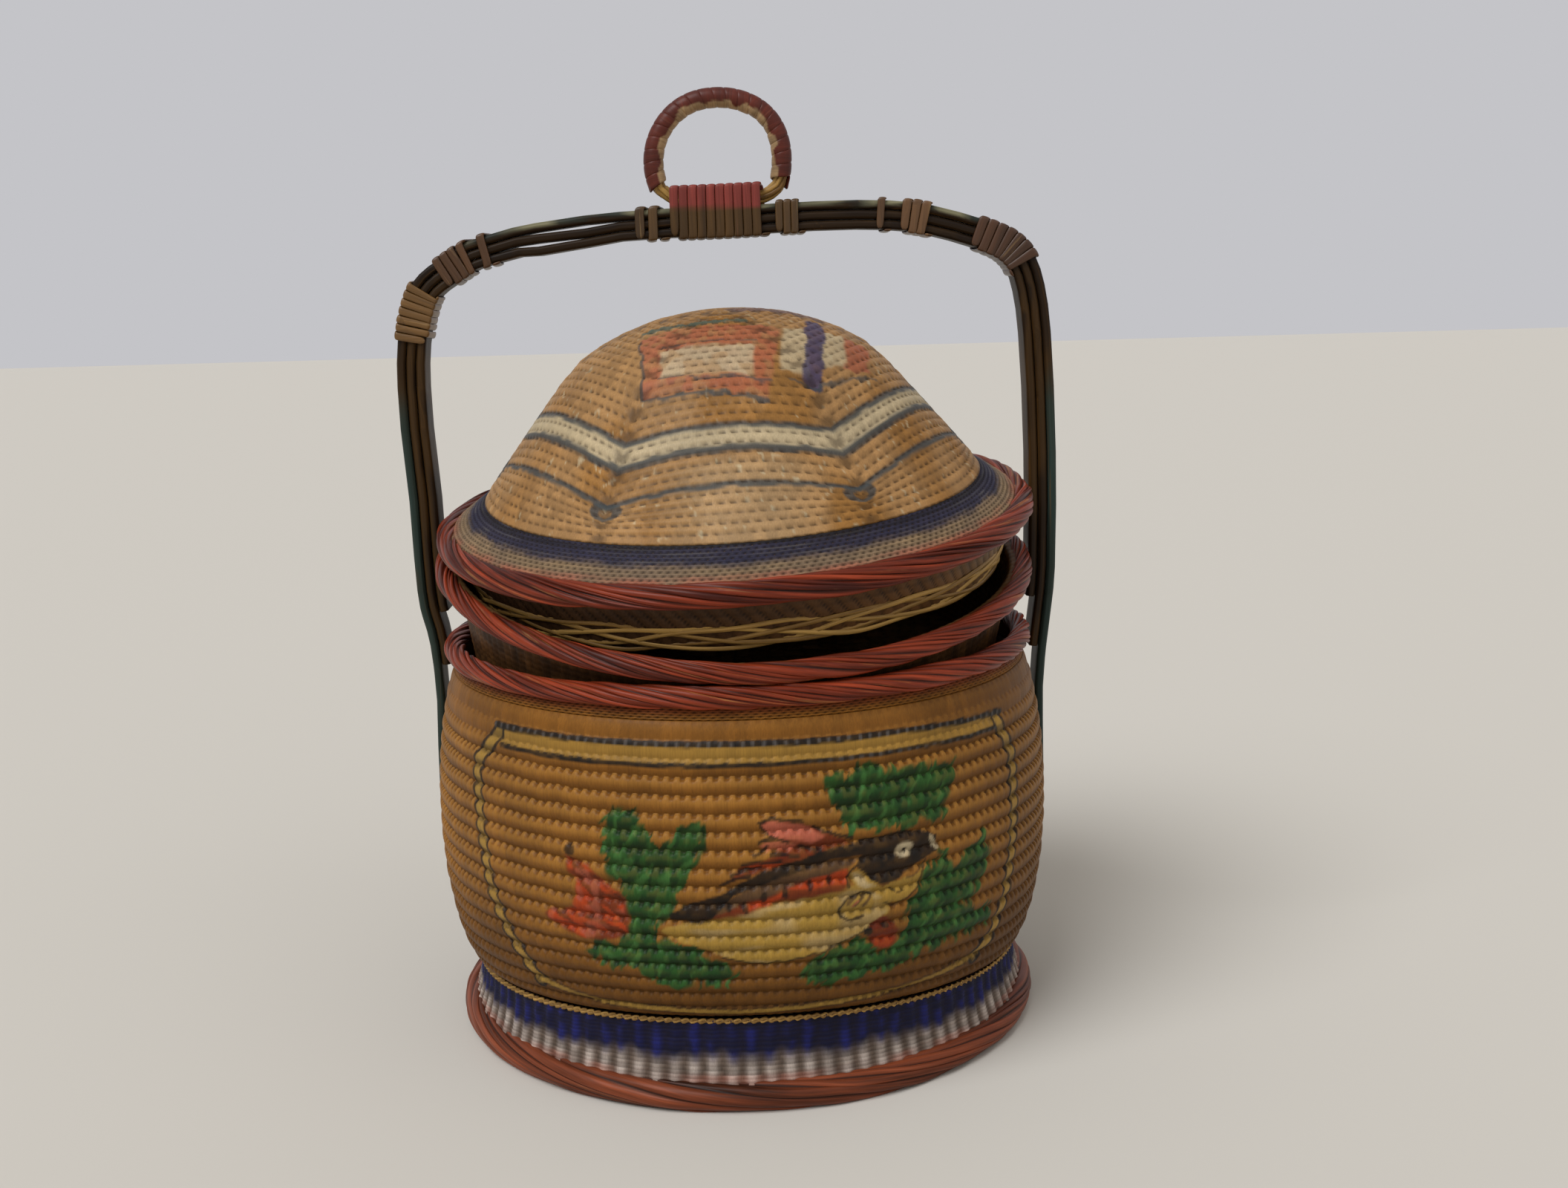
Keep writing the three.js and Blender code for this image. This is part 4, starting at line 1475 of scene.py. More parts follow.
@dataclass
class Body:
    """Bulging body with its painted front, floor, neck band and red rim. Sizes in mm."""

    line: tuple[tuple[float, float], ...] = (
        (173.2, 48.2), (179.6, 58.0), (185.4, 76.0), (189.7, 100.0), (191.4, 124.0), (191.3, 149.0), (189.7, 172.0),
        (187.2, 191.0), (183.2, 212.0), (179.0, 224.2),
    )
    rows: int = 18
    splints: int = 196
    front: tuple[int, int] = (106, 188)
    wall: float = 4.0
    floor: float = 173.0
    floor_top: float = 53.6
    neck: tuple[tuple[float, float], ...] = ((178.0, 222.6), (178.0, 233.4))
    mouth: float = 177.2
    thick: float = 6.3
    mouth_height: float = 236.9

    def build(self, finishes: Finishes, foot: Foot) -> None:
        """Makes the body's pieces, with a finer front than back.

        Args:
            finishes: the shared materials.
            foot: the foot that the body stands on.
        """
        seat = Seat(Part.BASKET, UPRIGHT)
        first, last = self.front
        fine = WeavePlan(
            Weave.SHINGLE, self.rows, self.splints, per_stake=6, lift=1.25, tooth=1.15, calm=0.88, seed=2
        )
        sides = (
            ("body_weave_front", fine, (first, last)),
            ("body_weave_back", replace(fine, per_stake=3), (last, first + self.splints)),
        )
        for name, plan, span in sides:
            wall = woven_wall(self.line, plan, self.wall, FishPanel(splints=self.splints).paint, foot.sag, span)
            seat.fit(wall, name, finishes.painted, "body_wall")
        floor = WovenDisc(self.floor, self.floor_top).make(foot.sag)
        seat.fit(floor, "body_base", finishes.painted, "body_floor")
        plan = WeavePlan(Weave.BRICK, rows=7, stakes=220, per_row=4, per_stake=4, lift=1.1, seed=4)
        neck = woven_wall(self.neck, plan, self.wall, self.paint_neck)
        seat.fit(neck, "neck_weave", finishes.fine, "neck_band")
        rim = TwistedRim(self.mouth, self.thick, self.mouth_height, canes=11, turns=7, seed=15).make()
        seat.fit(rim, "mouth_ring", finishes.red, "body_rim")

    def paint_neck(self, wall: WallPoints) -> Array:
        """Bare weave, browner towards the rim.

        Args:
            wall: the neck's points.

        Returns:
            A colour for every point.
        """
        field = coloured(Dye.TAN, len(wall.run))
        lay(field, Dye.EARTH, 0.75 * smooth(2.5, 7.5, wall.run))
        vary(field, wall.tone, 0.15)
        return field


@dataclass
class Tray:
    """Lift-out tray, askew in the mouth. Sizes in mm."""

    radius: float = 179.4
    thick: float = 6.2
    depth: float = 68.0
    warp: float = 4.0
    wall: float = 2.2
    floor: float = 159.8
    floor_top: float = -65.0
    stand: tuple[float, float] = (-1.0, 283.2)
    tilt: tuple[float, float] = (math.radians(9.5), 0.03)
    line: tuple[tuple[float, float], ...] = (
        (160.6, -68.0), (167.6, -28.0), (169.8, -10.0), (172.9, -4.0), (173.2, 2.5), (177.0, 4.0)
    )

    def bend(self, angle: Array, radius: Array, height: Array) -> Array:
        """The tray's rim is warped: low at front and back, high at the sides."""
        return self.warp * np.cos(2 * angle) * smooth(-self.depth, 0.0, height)

    def build(self, finishes: Finishes) -> None:
        """Makes the tray's pieces.

        Args:
            finishes: the shared materials.
        """
        seat = Seat(Part.TRAY, askew(*self.stand, *self.tilt))
        rim = TwistedRim(self.radius, self.thick, 0.0, canes=11, turns=7, seed=25)
        warped = rim.make(bend=lambda angle: self.warp * np.cos(2 * angle))
        seat.fit(warped, "tray_ring", finishes.red, "tray_rim")
        plan = WeavePlan(Weave.STAKED, rows=20, stakes=150, per_row=3, per_stake=4, lift=1.0, both=True, seed=6)
        wall = woven_wall(self.line, plan, self.wall, self.paint, self.bend)
        seat.fit(wall, "tray_weave", finishes.dark, "tray_wall")
        floor = WovenDisc(self.floor, self.floor_top).make()
        seat.fit(floor, "tray_base", finishes.painted, "tray_floor")

    def paint(self, wall: WallPoints) -> Array:
        """Dark stained weave.

        Args:
            wall: the tray wall's points.

        Returns:
            A colour for every point.
        """
        field = coloured(Dye.BROWN, len(wall.run))
        lay(field, Dye.DARK_BROWN, 0.7 * smooth(0.3, 0.8, wall.mottle(3.0, 51, up_share=0.3)))
        vary(field, wall.tone, 0.2)
        return field


@dataclass
class Lid:
    """Domed lid plaited in six sectors, with a flange, red rim, collar and straw edge. Sizes in mm."""

    radius: float = 178.3
    thick: float = 7.2
    dome: tuple[tuple[float, float], ...] = (
        (0.0, 124.7), (25.0, 123.0), (45.0, 119.0), (62.0, 113.0), (75.0, 107.0), (88.0, 99.0), (101.5, 85.5),
        (120.5, 62.5), (134.5, 45.0), (147.5, 29.0), (153.3, 21.0),
    )
    inner: tuple[tuple[float, float], ...] = (
        (150.0, 21.0), (131.6, 42.8), (98.6, 83.3), (85.6, 96.3), (60.6, 109.8), (25.0, 119.6), (0.0, 121.4)
    )
    collar: tuple[tuple[float, float], ...] = ((162.75, -34.0), (170.15, -8.84), (171.15, 1.0), (175.0, 3.0))
    brim: tuple[tuple[float, float], ...] = ((176.6, 4.1), (151.8, 21.5))
    brim_wall: float = 2.0
    collar_wall: float = 2.2
    stand: tuple[float, float] = (0.0, 314.6)
    tilt: tuple[float, float] = (0.1245, -0.0446)
    row: float = 6.0
    dash: float = 6.6
    sectors: int = 6
    corner: float = 0.07
    corner_ends: tuple[float, float] = (128.0, 153.0)
    tones: int = 97
    seed: int = 71
    steps: int = 720
    per_row: int = 4
    pale_band: tuple[float, float] = (124.0, 137.0)
    dark_bands: tuple[tuple[float, float], ...] = ((121.4, 125.2), (135.6, 140.2), (157.8, 161.6))
    loop_run: float = 166.5
    loop: float = 6.0

    def build(self, finishes: Finishes) -> None:
        """Makes the lid's pieces.

        Args:
            finishes: the shared materials.
        """
        seat = Seat(Part.LID, askew(*self.stand, *self.tilt))
        rim = TwistedRim(self.radius, self.thick, 0.0, canes=11, turns=5, seed=35, groove=1.15).make()
        seat.fit(rim, "lid_ring", finishes.red, "lid_rim")
        plan = WeavePlan(Weave.BRICK, rows=11, stakes=224, per_row=5, per_stake=4, lift=0.9, seed=7)
        flange = woven_wall(self.brim, plan, self.brim_wall, self.paint_flange)
        seat.fit(flange, "lid_brim", finishes.fine, "lid_flange")
        seat.fit(self.make_dome(), "lid_plait", finishes.painted, "lid_dome")
        plan = WeavePlan(Weave.TWILL, rows=4, stakes=120, per_row=6, per_stake=6, lift=0.8, seed=8)
        collar = woven_wall(self.collar, plan, self.collar_wall, self.paint_collar)
        seat.fit(collar, "lid_band", finishes.dark, "lid_collar")
        straw = Braid(
            strands=5, radius=165.1, height=-28.0, width=2.9, sway=6.6, weave=0.4, waves=4, seed=44,
            flat=0.2, drift=0.25, lean=0.294, steps=360,
        )
        seat.fit(straw.make(), "lid_edge_straw", finishes.straw, "lid_braid")

    def paint_flange(self, wall: WallPoints) -> Array:
        """Natural cane at the rim, blue next to the dome.

        Args:
            wall: the flange's points.

        Returns:
            A colour for every point.
        """
        field = coloured(Dye.STRAW, len(wall.run))
        lay(field, Dye.DUST_AND_SHADE, 0.35 + 0.4 * wall.mottle(6.0, 61))
        lay(field, Dye.ROSE, 0.6 * smooth(10.0, 4.0, wall.run) * wall.mottle(4.0, 63))
        edge = 15.2 + 2.2 * (wall.mottle(3.0, 62, 0.5, 0.1) - 0.5) * 2
        blue = smooth(-3.4, 3.4, wall.run - edge + 3.0 * (wall.mottle(1.4, 65) - 0.5))
        lay(field, Dye.SLATE, 0.95 * blue)
        dots = smooth(0.45, 0.95, wall.crest) * smooth(0.4, 0.9, wall.mottle(3.0, 64, 0.5, 3.0))
        lay(field, Dye.TICK, 0.6 * blue * dots)
        lay(field, Dye.BLACK, 0.7 * smooth(22.0, 27.0, wall.run) * smooth(0.3, 0.6, wall.mottle(3.0, 66, 0.3, 2.0)))
        vary(field, wall.tone, 0.14)
        return field

    def paint_collar(self, wall: WallPoints) -> Array:
        """Stained strips, darker at the left.

        Args:
            wall: the collar's points.

        Returns:
            A colour for every point.
        """
        field = coloured(Dye.BROWN, len(wall.run))
        lay(field, Dye.DARK_BROWN, 0.8 * smooth(45.0, -30.0, wall.bearing))
        lay(field, Dye.STRAW, 0.3 * smooth(35.0, 70.0, wall.bearing) * smooth(110.0, 80.0, wall.bearing))
        vary(field, wall.tone, 0.18)
        return field

    def make_dome(self) -> bpy.types.Mesh:
        """Builds the plaited dome.

        Returns:
            The mesh in the lid's own mm.
        """
        profile = Profile(self.dome)
        rows = round(profile.length / self.row)
        runs = np.linspace(0.0, profile.length, rows * self.per_row + 1)
        radius, height = profile.at(runs)
        ring = list(zip(radius, height)) + list(self.inner)
        mesh = spun(ring, [*runs, *[-1.0] * len(self.inner)], full_turn(self.steps), False)
        points, run = points_of(mesh), runs_of(mesh)
        outer = run > -0.5
        azimuth = np.arctan2(points[:, 0], -points[:, 1])
        sector = math.tau / self.sectors
        lean = azimuth - sector * np.round(azimuth / sector)
        # rows follow a six-cornered line high on the dome and the round flange at its foot
        q = profile.at(np.clip(run, 0, None))[0]
        flare = 1 + self.corner * (2 * lean / sector) ** 2 * (1 - smooth(*self.corner_ends, q))
        r = np.minimum(q * flare, self.dome[-1][0])
        where = np.interp(r, profile.points[:, 0], profile.runs)
        up = np.clip(run / profile.length, 0, 1) * rows
        row = np.clip(np.floor(up + NUDGE), 0, rows - 1).astype(int)
        across = r * np.sin(lean) / self.dash
        table = np.random.default_rng(self.seed).random((rows + 1, self.tones)) * 2 - 1
        # each sector takes its tones from another place in the table
        cell_no = np.floor(across + 0.5 * (row % 2)).astype(int) + 13 * np.round(azimuth / sector).astype(int)
        cell = Cell(row, np.clip(up - row, 0, 1), across, up, table[row, cell_no % self.tones])
        bump = np.sin(math.pi * cell.rise)
        gap = lens(cell, 0.24 + 0.12 * smooth(100, 50, run), 0.2) * (0.75 + 0.4 * cell.tone)
        seam = smooth(8.0, 1.5, r * np.abs(sector / 2 - np.abs(lean))) * (row % 2)
        lift = 0.55 * (bump - 0.6) - 0.95 * gap + 0.14 * cell.tone - 0.7 * seam * bump
        lift *= smooth(0.0, 6.0, profile.length - run)
        slit = seam * smooth(0.45, 0.2, np.abs(cell.rise - 0.5))
        # painted shade in the lens-shaped gaps, along the edges of the rows and in the slits along the sector seams
        hollow = np.clip(0.8 * gap + 0.2 * (1 - bump) + 0.8 * slit, 0, 1)
        _, z = profile.at(where)
        nr, nz = profile.outward(where)
        # the line starts at the crown, so its normal points into the lid
        points[outer] = turned(r - lift * nr, azimuth - math.pi / 2, z - lift * nz)[outer]
        field = self.paint_dome(points, run, np.abs(np.abs(lean) - sector / 2), cell.tone)
        field[~outer] = linear(Dye.INSIDE.value)
        move_points(mesh, points)
        note(mesh, "paint", field)
        note(mesh, "hollow", np.where(outer, hollow, 0.1))
        return mesh

    def paint_dome(self, points: Array, run: Array, corner: Array, tone: Array) -> Array:
        """Paints the dome: two bands round it and a plain framed panel on the front of its crown.

        Args:
            points: positions in the lid's own mm.
            run: distance from the crown along the sector's middle, mm.
            corner: angle from the sector's nearest corner.
            tone: tone of each splint.

        Returns:
            A colour for every point.
        """
        x, y = points[:, 0], points[:, 1]
        field = coloured(Dye.DOME, len(x))
        lay(field, Dye.DOME_DEEP, 0.75 * smooth(0.35, 0.75, mottle(x, y, 34.0, 81)))
        vary(field, tone, 0.12)
        flecks = smooth(0.86, 0.96, mottle(x, y, 2.6, 85))
        worn = smooth(138, 150, run) * smooth(60, 20, np.abs(x)) * smooth(0, -60, y)
        lay(field, Dye.PALE, 0.7 * flecks + 0.22 * worn)
        wob = run + 0.8 * (mottle(x, y, 7.0, 82) - 0.5) * 2
        lay(field, Dye.PALE, 0.9 * band(wob, *self.pale_band, 1.0))
        for low, high in self.dark_bands:
            lay(field, Dye.LINE, 0.9 * band(wob, low, high, 0.6))
        # a loop at every corner of the plait
        knot = np.abs(np.hypot(corner * np.hypot(x, y) / 1.25, wob - self.loop_run) - self.loop)
        lay(field, Dye.LINE, 0.85 * smooth(3.0, 1.8, knot))
        self.paint_crown(Brush(x, y, field, seed=83, shake=1.4))
        vary(field, tone, 0.06)
        return field

    def paint_crown(self, brush: Brush) -> None:
        """Plain framed panels on the crown, in brick, cream and plum.

        Args:
            brush: a brush in the lid's own plan, mm.
        """
        brush.fill([(-48, -30), (34, -36), (30, -70), (24, -97), (-46, -87)], Dye.BRICK, 0.85, 2.5)
        brush.fill([(-36, -56), (20, -60), (16, -86), (-35, -79)], Dye.PALE, 0.85, 2.5)
        panel = smooth(12.0, -2.0, brush.distance([(-48, -30), (34, -36), (24, -97), (-46, -87)]))
        lay(brush.field, Dye.DOME, 0.5 * smooth(0.5, 0.75, mottle(brush.u, brush.v, 5.0, 87)) * panel)
        brush.stroke([(-46, -87), (-12, -94), (24, -97)], 2.2, Dye.LINE, 0.9)
        brush.stroke([(-36, -78), (-10, -85), (26, -88)], 1.6, Dye.LINE, 0.8)
        brush.stroke([(-48, -34), (-46, -87)], 1.8, Dye.LINE, 0.8)
        brush.stroke([(-34, -52), (20, -56)], 1.6, Dye.LINE, 0.75)
        brush.stroke([(-45, -22), (-16, -26), (14, -27)], 6.0, Dye.SEA, 0.9)
        brush.fill([(36, -36), (50, -30), (48, -78), (32, -80)], Dye.PALE, 0.8, 2.5)
        brush.fill([(60, -26), (72, -22), (70, -60), (56, -68)], Dye.PALE, 0.8, 2.5)
        brush.fill([(72, -22), (88, -20), (84, -50), (70, -62)], Dye.BRICK, 0.9, 2.5)
        brush.stroke([(56, -14), (54, -44), (50, -80)], 11.0, Dye.PLUM, 0.92)
        brush.fill([(2, 12), (28, 22), (58, 16), (66, 4), (30, 2), (8, 0)], Dye.PLUM, 0.55, 5.0)
        brush.stroke([(36, -84), (52, -84), (72, -66), (88, -52)], 1.8, Dye.LINE, 0.8)


def cleaned(node: str) -> bmesh.types.BMesh:
    """Copies a CAD node's mesh and joins its loose triangles into plain faces.

    Args:
        node: name of the node.

    Returns:
        The copy.
    """
    bm = bmesh.new()
    bm.from_mesh(bpy.data.objects[node].data)
    bmesh.ops.remove_doubles(bm, verts=bm.verts, dist=CAD_WELD)
    bmesh.ops.join_triangles(bm, faces=bm.faces, angle_face_threshold=0.6, angle_shape_threshold=3.0)
    return bm


def rounded_off(bm: bmesh.types.BMesh, levels: int) -> bpy.types.Mesh:
    """Subdivides a cage into its smooth surface.

    Args:
        bm: the cage, which is freed.
        levels: how many times.

    Returns:
        The smooth mesh.
    """
    cage = bpy.data.meshes.new("cage")
    bm.to_mesh(cage)
    bm.free()
    draft = bpy.data.objects.new("draft", cage)
    bpy.context.scene.collection.objects.link(draft)
    surface = draft.modifiers.new("surface", "SUBSURF")
    surface.levels = surface.render_levels = levels
    mesh = bpy.data.meshes.new_from_object(draft.evaluated_get(bpy.context.evaluated_depsgraph_get()))
    bpy.data.objects.remove(draft)
    bpy.data.meshes.remove(cage)
    return mesh


class Trace:
    """Middle line of a hoop in its upright plane, read from the points of a CAD node. Millimetres."""

    def __init__(self, node: str, centre: tuple[float, float], bins: int, closed: bool) -> None:
        """Averages the node's points by their bearing from the centre.

        Args:
            node: name of the node.
            centre: x and z that the hoop goes round, mm.
            bins: number of steps.
            closed: True for a full ring.
        """
        points = points_of(bpy.data.objects[node].data)
        x, z = points[:, 0] / MM - centre[0], points[:, 2] / MM - centre[1]
        slots = np.floor((np.arctan2(x, z) + math.pi) / math.tau * bins).astype(int) % bins
        filled = [slots == k for k in np.unique(slots)]
        line = np.array([(x[here].mean() + centre[0], z[here].mean() + centre[1]) for here in filled])
        self.line = np.concatenate([line, line[:1]]) if closed else line
        self.runs = np.concatenate([[0.0], np.cumsum(np.hypot(*np.diff(self.line, axis=0).T))])
        self.depth_y = float(points[:, 1].mean() / MM)

    def place(self, points: Array) -> tuple[Array, Array]:
        """Finds where points lie along the line.

        Args:
            points: positions in metres.

        Returns:
            Distance along the line and depth inside the hoop, mm.
        """
        px, pz = points[:, 0] / MM, points[:, 2] / MM
        best = np.full(len(px), np.inf)
        run, depth = np.zeros(len(px)), np.zeros(len(px))
        for i, ((x0, z0), (x1, z1)) in enumerate(zip(self.line, self.line[1:])):
            dx, dz = x1 - x0, z1 - z0
            size = math.hypot(dx, dz)
            t = np.clip(((px - x0) * dx + (pz - z0) * dz) / size**2, 0, 1)
            far = np.hypot(px - x0 - t * dx, pz - z0 - t * dz)
            near = far < best
            best[near] = far[near]
            run[near] = (self.runs[i] + t * size)[near]
            depth[near] = (((px - x0) * dz - (pz - z0) * dx) / size)[near]
        return run, depth

    def at(self, run: Array) -> tuple[Array, Array]:
        """X and z at a distance along the line."""
        return np.interp(run, self.runs, self.line[:, 0]), np.interp(run, self.runs, self.line[:, 1])

    def along(self, points: Array) -> Array:
        """Finds which way the line runs beside points.

        Args:
            points: positions in metres.

        Returns:
            The x and z of a unit step along the line for each point.
        """
        run = np.clip(self.place(points)[0], TRACE_STEP, self.runs[-1] - TRACE_STEP)
        step = np.stack(self.at(run + TRACE_STEP), axis=1) - np.stack(self.at(run - TRACE_STEP), axis=1)
        return step / np.linalg.norm(step, axis=1, keepdims=True)


@dataclass
class Handle:
    """Three bent strips, their cane lashings, the grip and the finger ring. Sizes in mm.

    Strips are listed by CAD node, piece and slot, lashings by CAD node, piece, colour and how much wider each edge of a
    turn is laid.
    """

    centre: tuple[float, float] = (AXIS_X, 300.0)
    bins: int = 180
    ring_centre: tuple[float, float] = (-2.5, 537.0)
    ring_bins: int = 48
    edge: float = 0.5  # width of the rounded edges of a strip
    sharp: float = 0.6  # angle of the edges that are rounded, radians
    facet: float = 6.0  # longest edge that is not divided
    bar_shade: tuple[float, float] = (430.0, 475.0)  # heights over which the strips get darker
    bar_top: tuple[float, float] = (478.0, 490.0)  # heights over which the bar's pale top starts
    leg_top: tuple[float, float] = (400.0, 360.0)  # heights over which the legs turn green
    plump: float = 0.34  # how far the windings are puffed up
    span: float = 5.2  # longest edge of a winding that is not divided
    split: float = 500.6  # height at which the grip changes colour
    split_edge: float = 0.8
    canes: int = 6
    cane: float = 1.7
    cane_sides: int = 6
    coil: float = 2.6  # how far the canes of the ring lie from its middle line
    twists: int = 2
    ring_steps: int = 144
    ring_reach: float = 3.0  # how far ahead the ring's direction is measured
    strips: tuple[tuple[str, str, str], ...] = (
        ("handle_outer", "bow_outer", "green_bamboo"),
        ("handle_middle", "bow_middle", "bamboo"),
        ("handle_inner", "bow_inner", "bamboo"),
    )
    lashings: tuple[tuple[str, str, Dye, float], ...] = (
        ("lash_left_low", "lashing_left_low", Dye.GOLD_CANE, 0.8),
        ("lash_left_top", "lashing_left_top", Dye.BROWN_CANE, 0.45),
        ("lash_right_small", "lashing_right_small", Dye.UMBER_CANE, 0.3),
        ("lash_right_top", "lashing_right_top", Dye.UMBER_CANE, 0.5),
        ("lash_right_corner", "lashing_right_corner", Dye.RUST_CANE, 0.75),
        ("grip_left", "grip_turns_left", Dye.GRIP_CANE, 0.9),
        ("grip_right", "grip_turns_right", Dye.GRIP_CANE, 0.35),
    )

    def build(self, finishes: Finishes) -> None:
        """Makes the handle's pieces.

        Args:
            finishes: the shared materials.
        """
        seat = Seat(Part.BASKET, IN_PLACE)
        bow = Trace("handle_outer", self.centre, self.bins, False)
        ring = Trace("ring_hoop", self.ring_centre, self.ring_bins, True)
        for node, name, slot in self.strips:
            seat.fit(self.strip(node), name, finishes.bamboo, node)
        for node, name, dye, spread in self.lashings:
            seat.fit(self.winding(node, bow, (dye, dye), spread), name, finishes.lashing, node)
        grip = self.winding("grip_binding", bow, (Dye.GRIP_CANE, Dye.GRIP_RED), 0.4)
        seat.fit(grip, "grip_cane", finishes.ribbon, "grip_binding")
        wrap = self.winding("ring_wrap", ring, (Dye.RING_RED, Dye.RING_RED), 0.9)
        seat.fit(wrap, "ring_ribbon", finishes.ribbon, "ring_wrap")
        seat.fit(self.ring(ring), "ring_canes", finishes.straw, "ring_hoop")

    def strip(self, node: str) -> bpy.types.Mesh:
        """Builds one bent strip, rounded at its edges, green on the legs of the outer one and pale on top of its bar.

        Args:
            node: CAD node of the strip.

        Returns:
            The mesh in metres.
        """
        bm = cleaned(node)
        sharp = [e for e in bm.edges if len(e.link_faces) == 2 and e.calc_face_angle(0.0) > self.sharp]
        bmesh.ops.bevel(
            bm, geom=sharp, offset=self.edge * MM, affect="EDGES", segments=2, profile=0.5, material=-1,
            clamp_overlap=True,
        )
        coarse = [e for e in bm.edges if e.calc_length() > self.facet * MM]
        bmesh.ops.subdivide_edges(bm, edges=coarse, cuts=3, use_grid_fill=True)
        mesh = bpy.data.meshes.new(node)
        bm.to_mesh(mesh)
        bm.free()
        points = points_of(mesh)
        run, depth = Trace(node, self.centre, self.bins, False).place(points)
        y, z = points[:, 1] / MM, points[:, 2] / MM
        field = coloured(Dye.BOW, len(points))
        rough = mottle(run, depth * 4 + y, 26.0, 91)
        lay(field, Dye.BOW_DARK, 0.8 * smooth(0.4, 0.7, rough))
        lay(field, Dye.BOW_DARK, 0.6 * smooth(*self.bar_shade, z))
        if node == "handle_outer":
            legs = smooth(*self.leg_top, z + 30 * (rough - 0.5))
            lay(field, Dye.BOW_GREEN, 0.85 * legs * smooth(0.2, 0.5, rough + 0.3))
            top = smooth(-0.9, 1.0, -depth) * smooth(*self.bar_top, z)
            lay(field, Dye.BOW_GREEN, 0.5 * top)
            lay(field, Dye.BOW_PALE, 0.6 * top * smooth(0.2, 0.8, mottle(run * 0.3, y, 5.0, 93)))
        note(mesh, "paint", field)
        note(mesh, "grain", np.stack([run, depth, y], axis=1))
        note(mesh, "hollow", np.zeros(len(points)))
        return mesh

    def winding(self, node: str, trace: Trace, dyes: tuple[Dye, Dye], spread: float) -> bpy.types.Mesh:
        """Builds wound cane from a CAD winding: rounded, plumper, and of another colour above the bar's middle.

        Args:
            node: CAD node of the winding.
            trace: middle line of what it is wound on.
            dyes: colours below and above the split.
            spread: how much wider each edge of a turn is laid, mm.

        Returns:
            The mesh in metres.
        """
        bm = cleaned(node)
        coarse = [e for e in bm.edges if e.calc_length() > self.span * MM]
        bmesh.ops.subdivide_edges(bm, edges=coarse, cuts=2, use_grid_fill=True)
        bm.normal_update()
        along = trace.along(np.array([vert.co for vert in bm.verts]))
        for vert, (dx, dz) in zip(bm.verts, along):
            lean = vert.normal.x * dx + vert.normal.z * dz
            vert.co += (vert.normal * self.plump + Vector((dx, 0.0, dz)) * lean * spread) * MM
        mesh = rounded_off(bm, 2)
        points = points_of(mesh)
        run, depth = trace.place(points)
        y = points[:, 1] / MM
        field = coloured(dyes[0], len(points))
        lay(field, dyes[1], smooth(self.split - self.split_edge, self.split + self.split_edge, points[:, 2] / MM))
        if node == "ring_wrap":
            # straw shows where the ribbon is worn through on the inside of the ring
            far = np.hypot(points[:, 0] / MM - self.ring_centre[0], points[:, 2] / MM - self.ring_centre[1])
            inward = depth * (-1.0 if np.corrcoef(depth, far)[0, 1] > 0 else 1.0)
            ragged = inward + 5.0 * (mottle(run, y, 5.0, 98) - 0.5)
            lay(field, Dye.STRAW, 0.85 * smooth(2.6, 3.6, ragged))
        vary(field, 2 * mottle(run * 0.9 + 50, y * 0.05, 4.0, 95) - 1, 0.28)
        note(mesh, "paint", field)
        note(mesh, "grain", np.stack([y + depth, run, np.zeros(len(points))], axis=1))
        note(mesh, "hollow", np.zeros(len(points)))
        return mesh

    def ring(self, trace: Trace) -> bpy.types.Mesh:
        """Builds the finger ring of thin canes side by side along the CAD ring's middle line.

        Args:
            trace: the ring's middle line.

        Returns:
            The mesh in metres.
        """
        canes = []
        turns = np.arange(self.cane_sides) / self.cane_sides
        for k in range(self.canes):
            mesh = spun(circle(50.0, 0.0, 1.0, turns), list(turns), full_turn(self.ring_steps), True)
            points, run = points_of(mesh), runs_of(mesh)
            share = np.mod(np.arctan2(points[:, 1], points[:, 0]) / math.tau, 1.0)
            at = share * trace.runs[-1]
            (x, z), (x1, z1) = trace.at(at), trace.at(np.mod(at + self.ring_reach, trace.runs[-1]))
            size = np.maximum(np.hypot(x1 - x, z1 - z), 1e-6)
            nx, nz = (z1 - z) / size, -(x1 - x) / size
            spin = math.tau * (k / self.canes + self.twists * share)
            out = self.coil * np.cos(spin) + self.cane * np.cos(math.tau * run)
            side = self.coil * np.sin(spin) + self.cane * np.sin(math.tau * run)
            move_points(mesh, np.stack([x + nx * out, trace.depth_y + side, z + nz * out], axis=1) * MM)
            note(mesh, "grain", np.stack([at, run * 5.0, np.full_like(run, 23.0 * k)], axis=1))
            note(mesh, "hollow", np.zeros_like(run))
            note(mesh, "tone", np.full_like(run, (0.31 * k) % 1.0))
            canes.append(mesh)
        return bundled(canes)


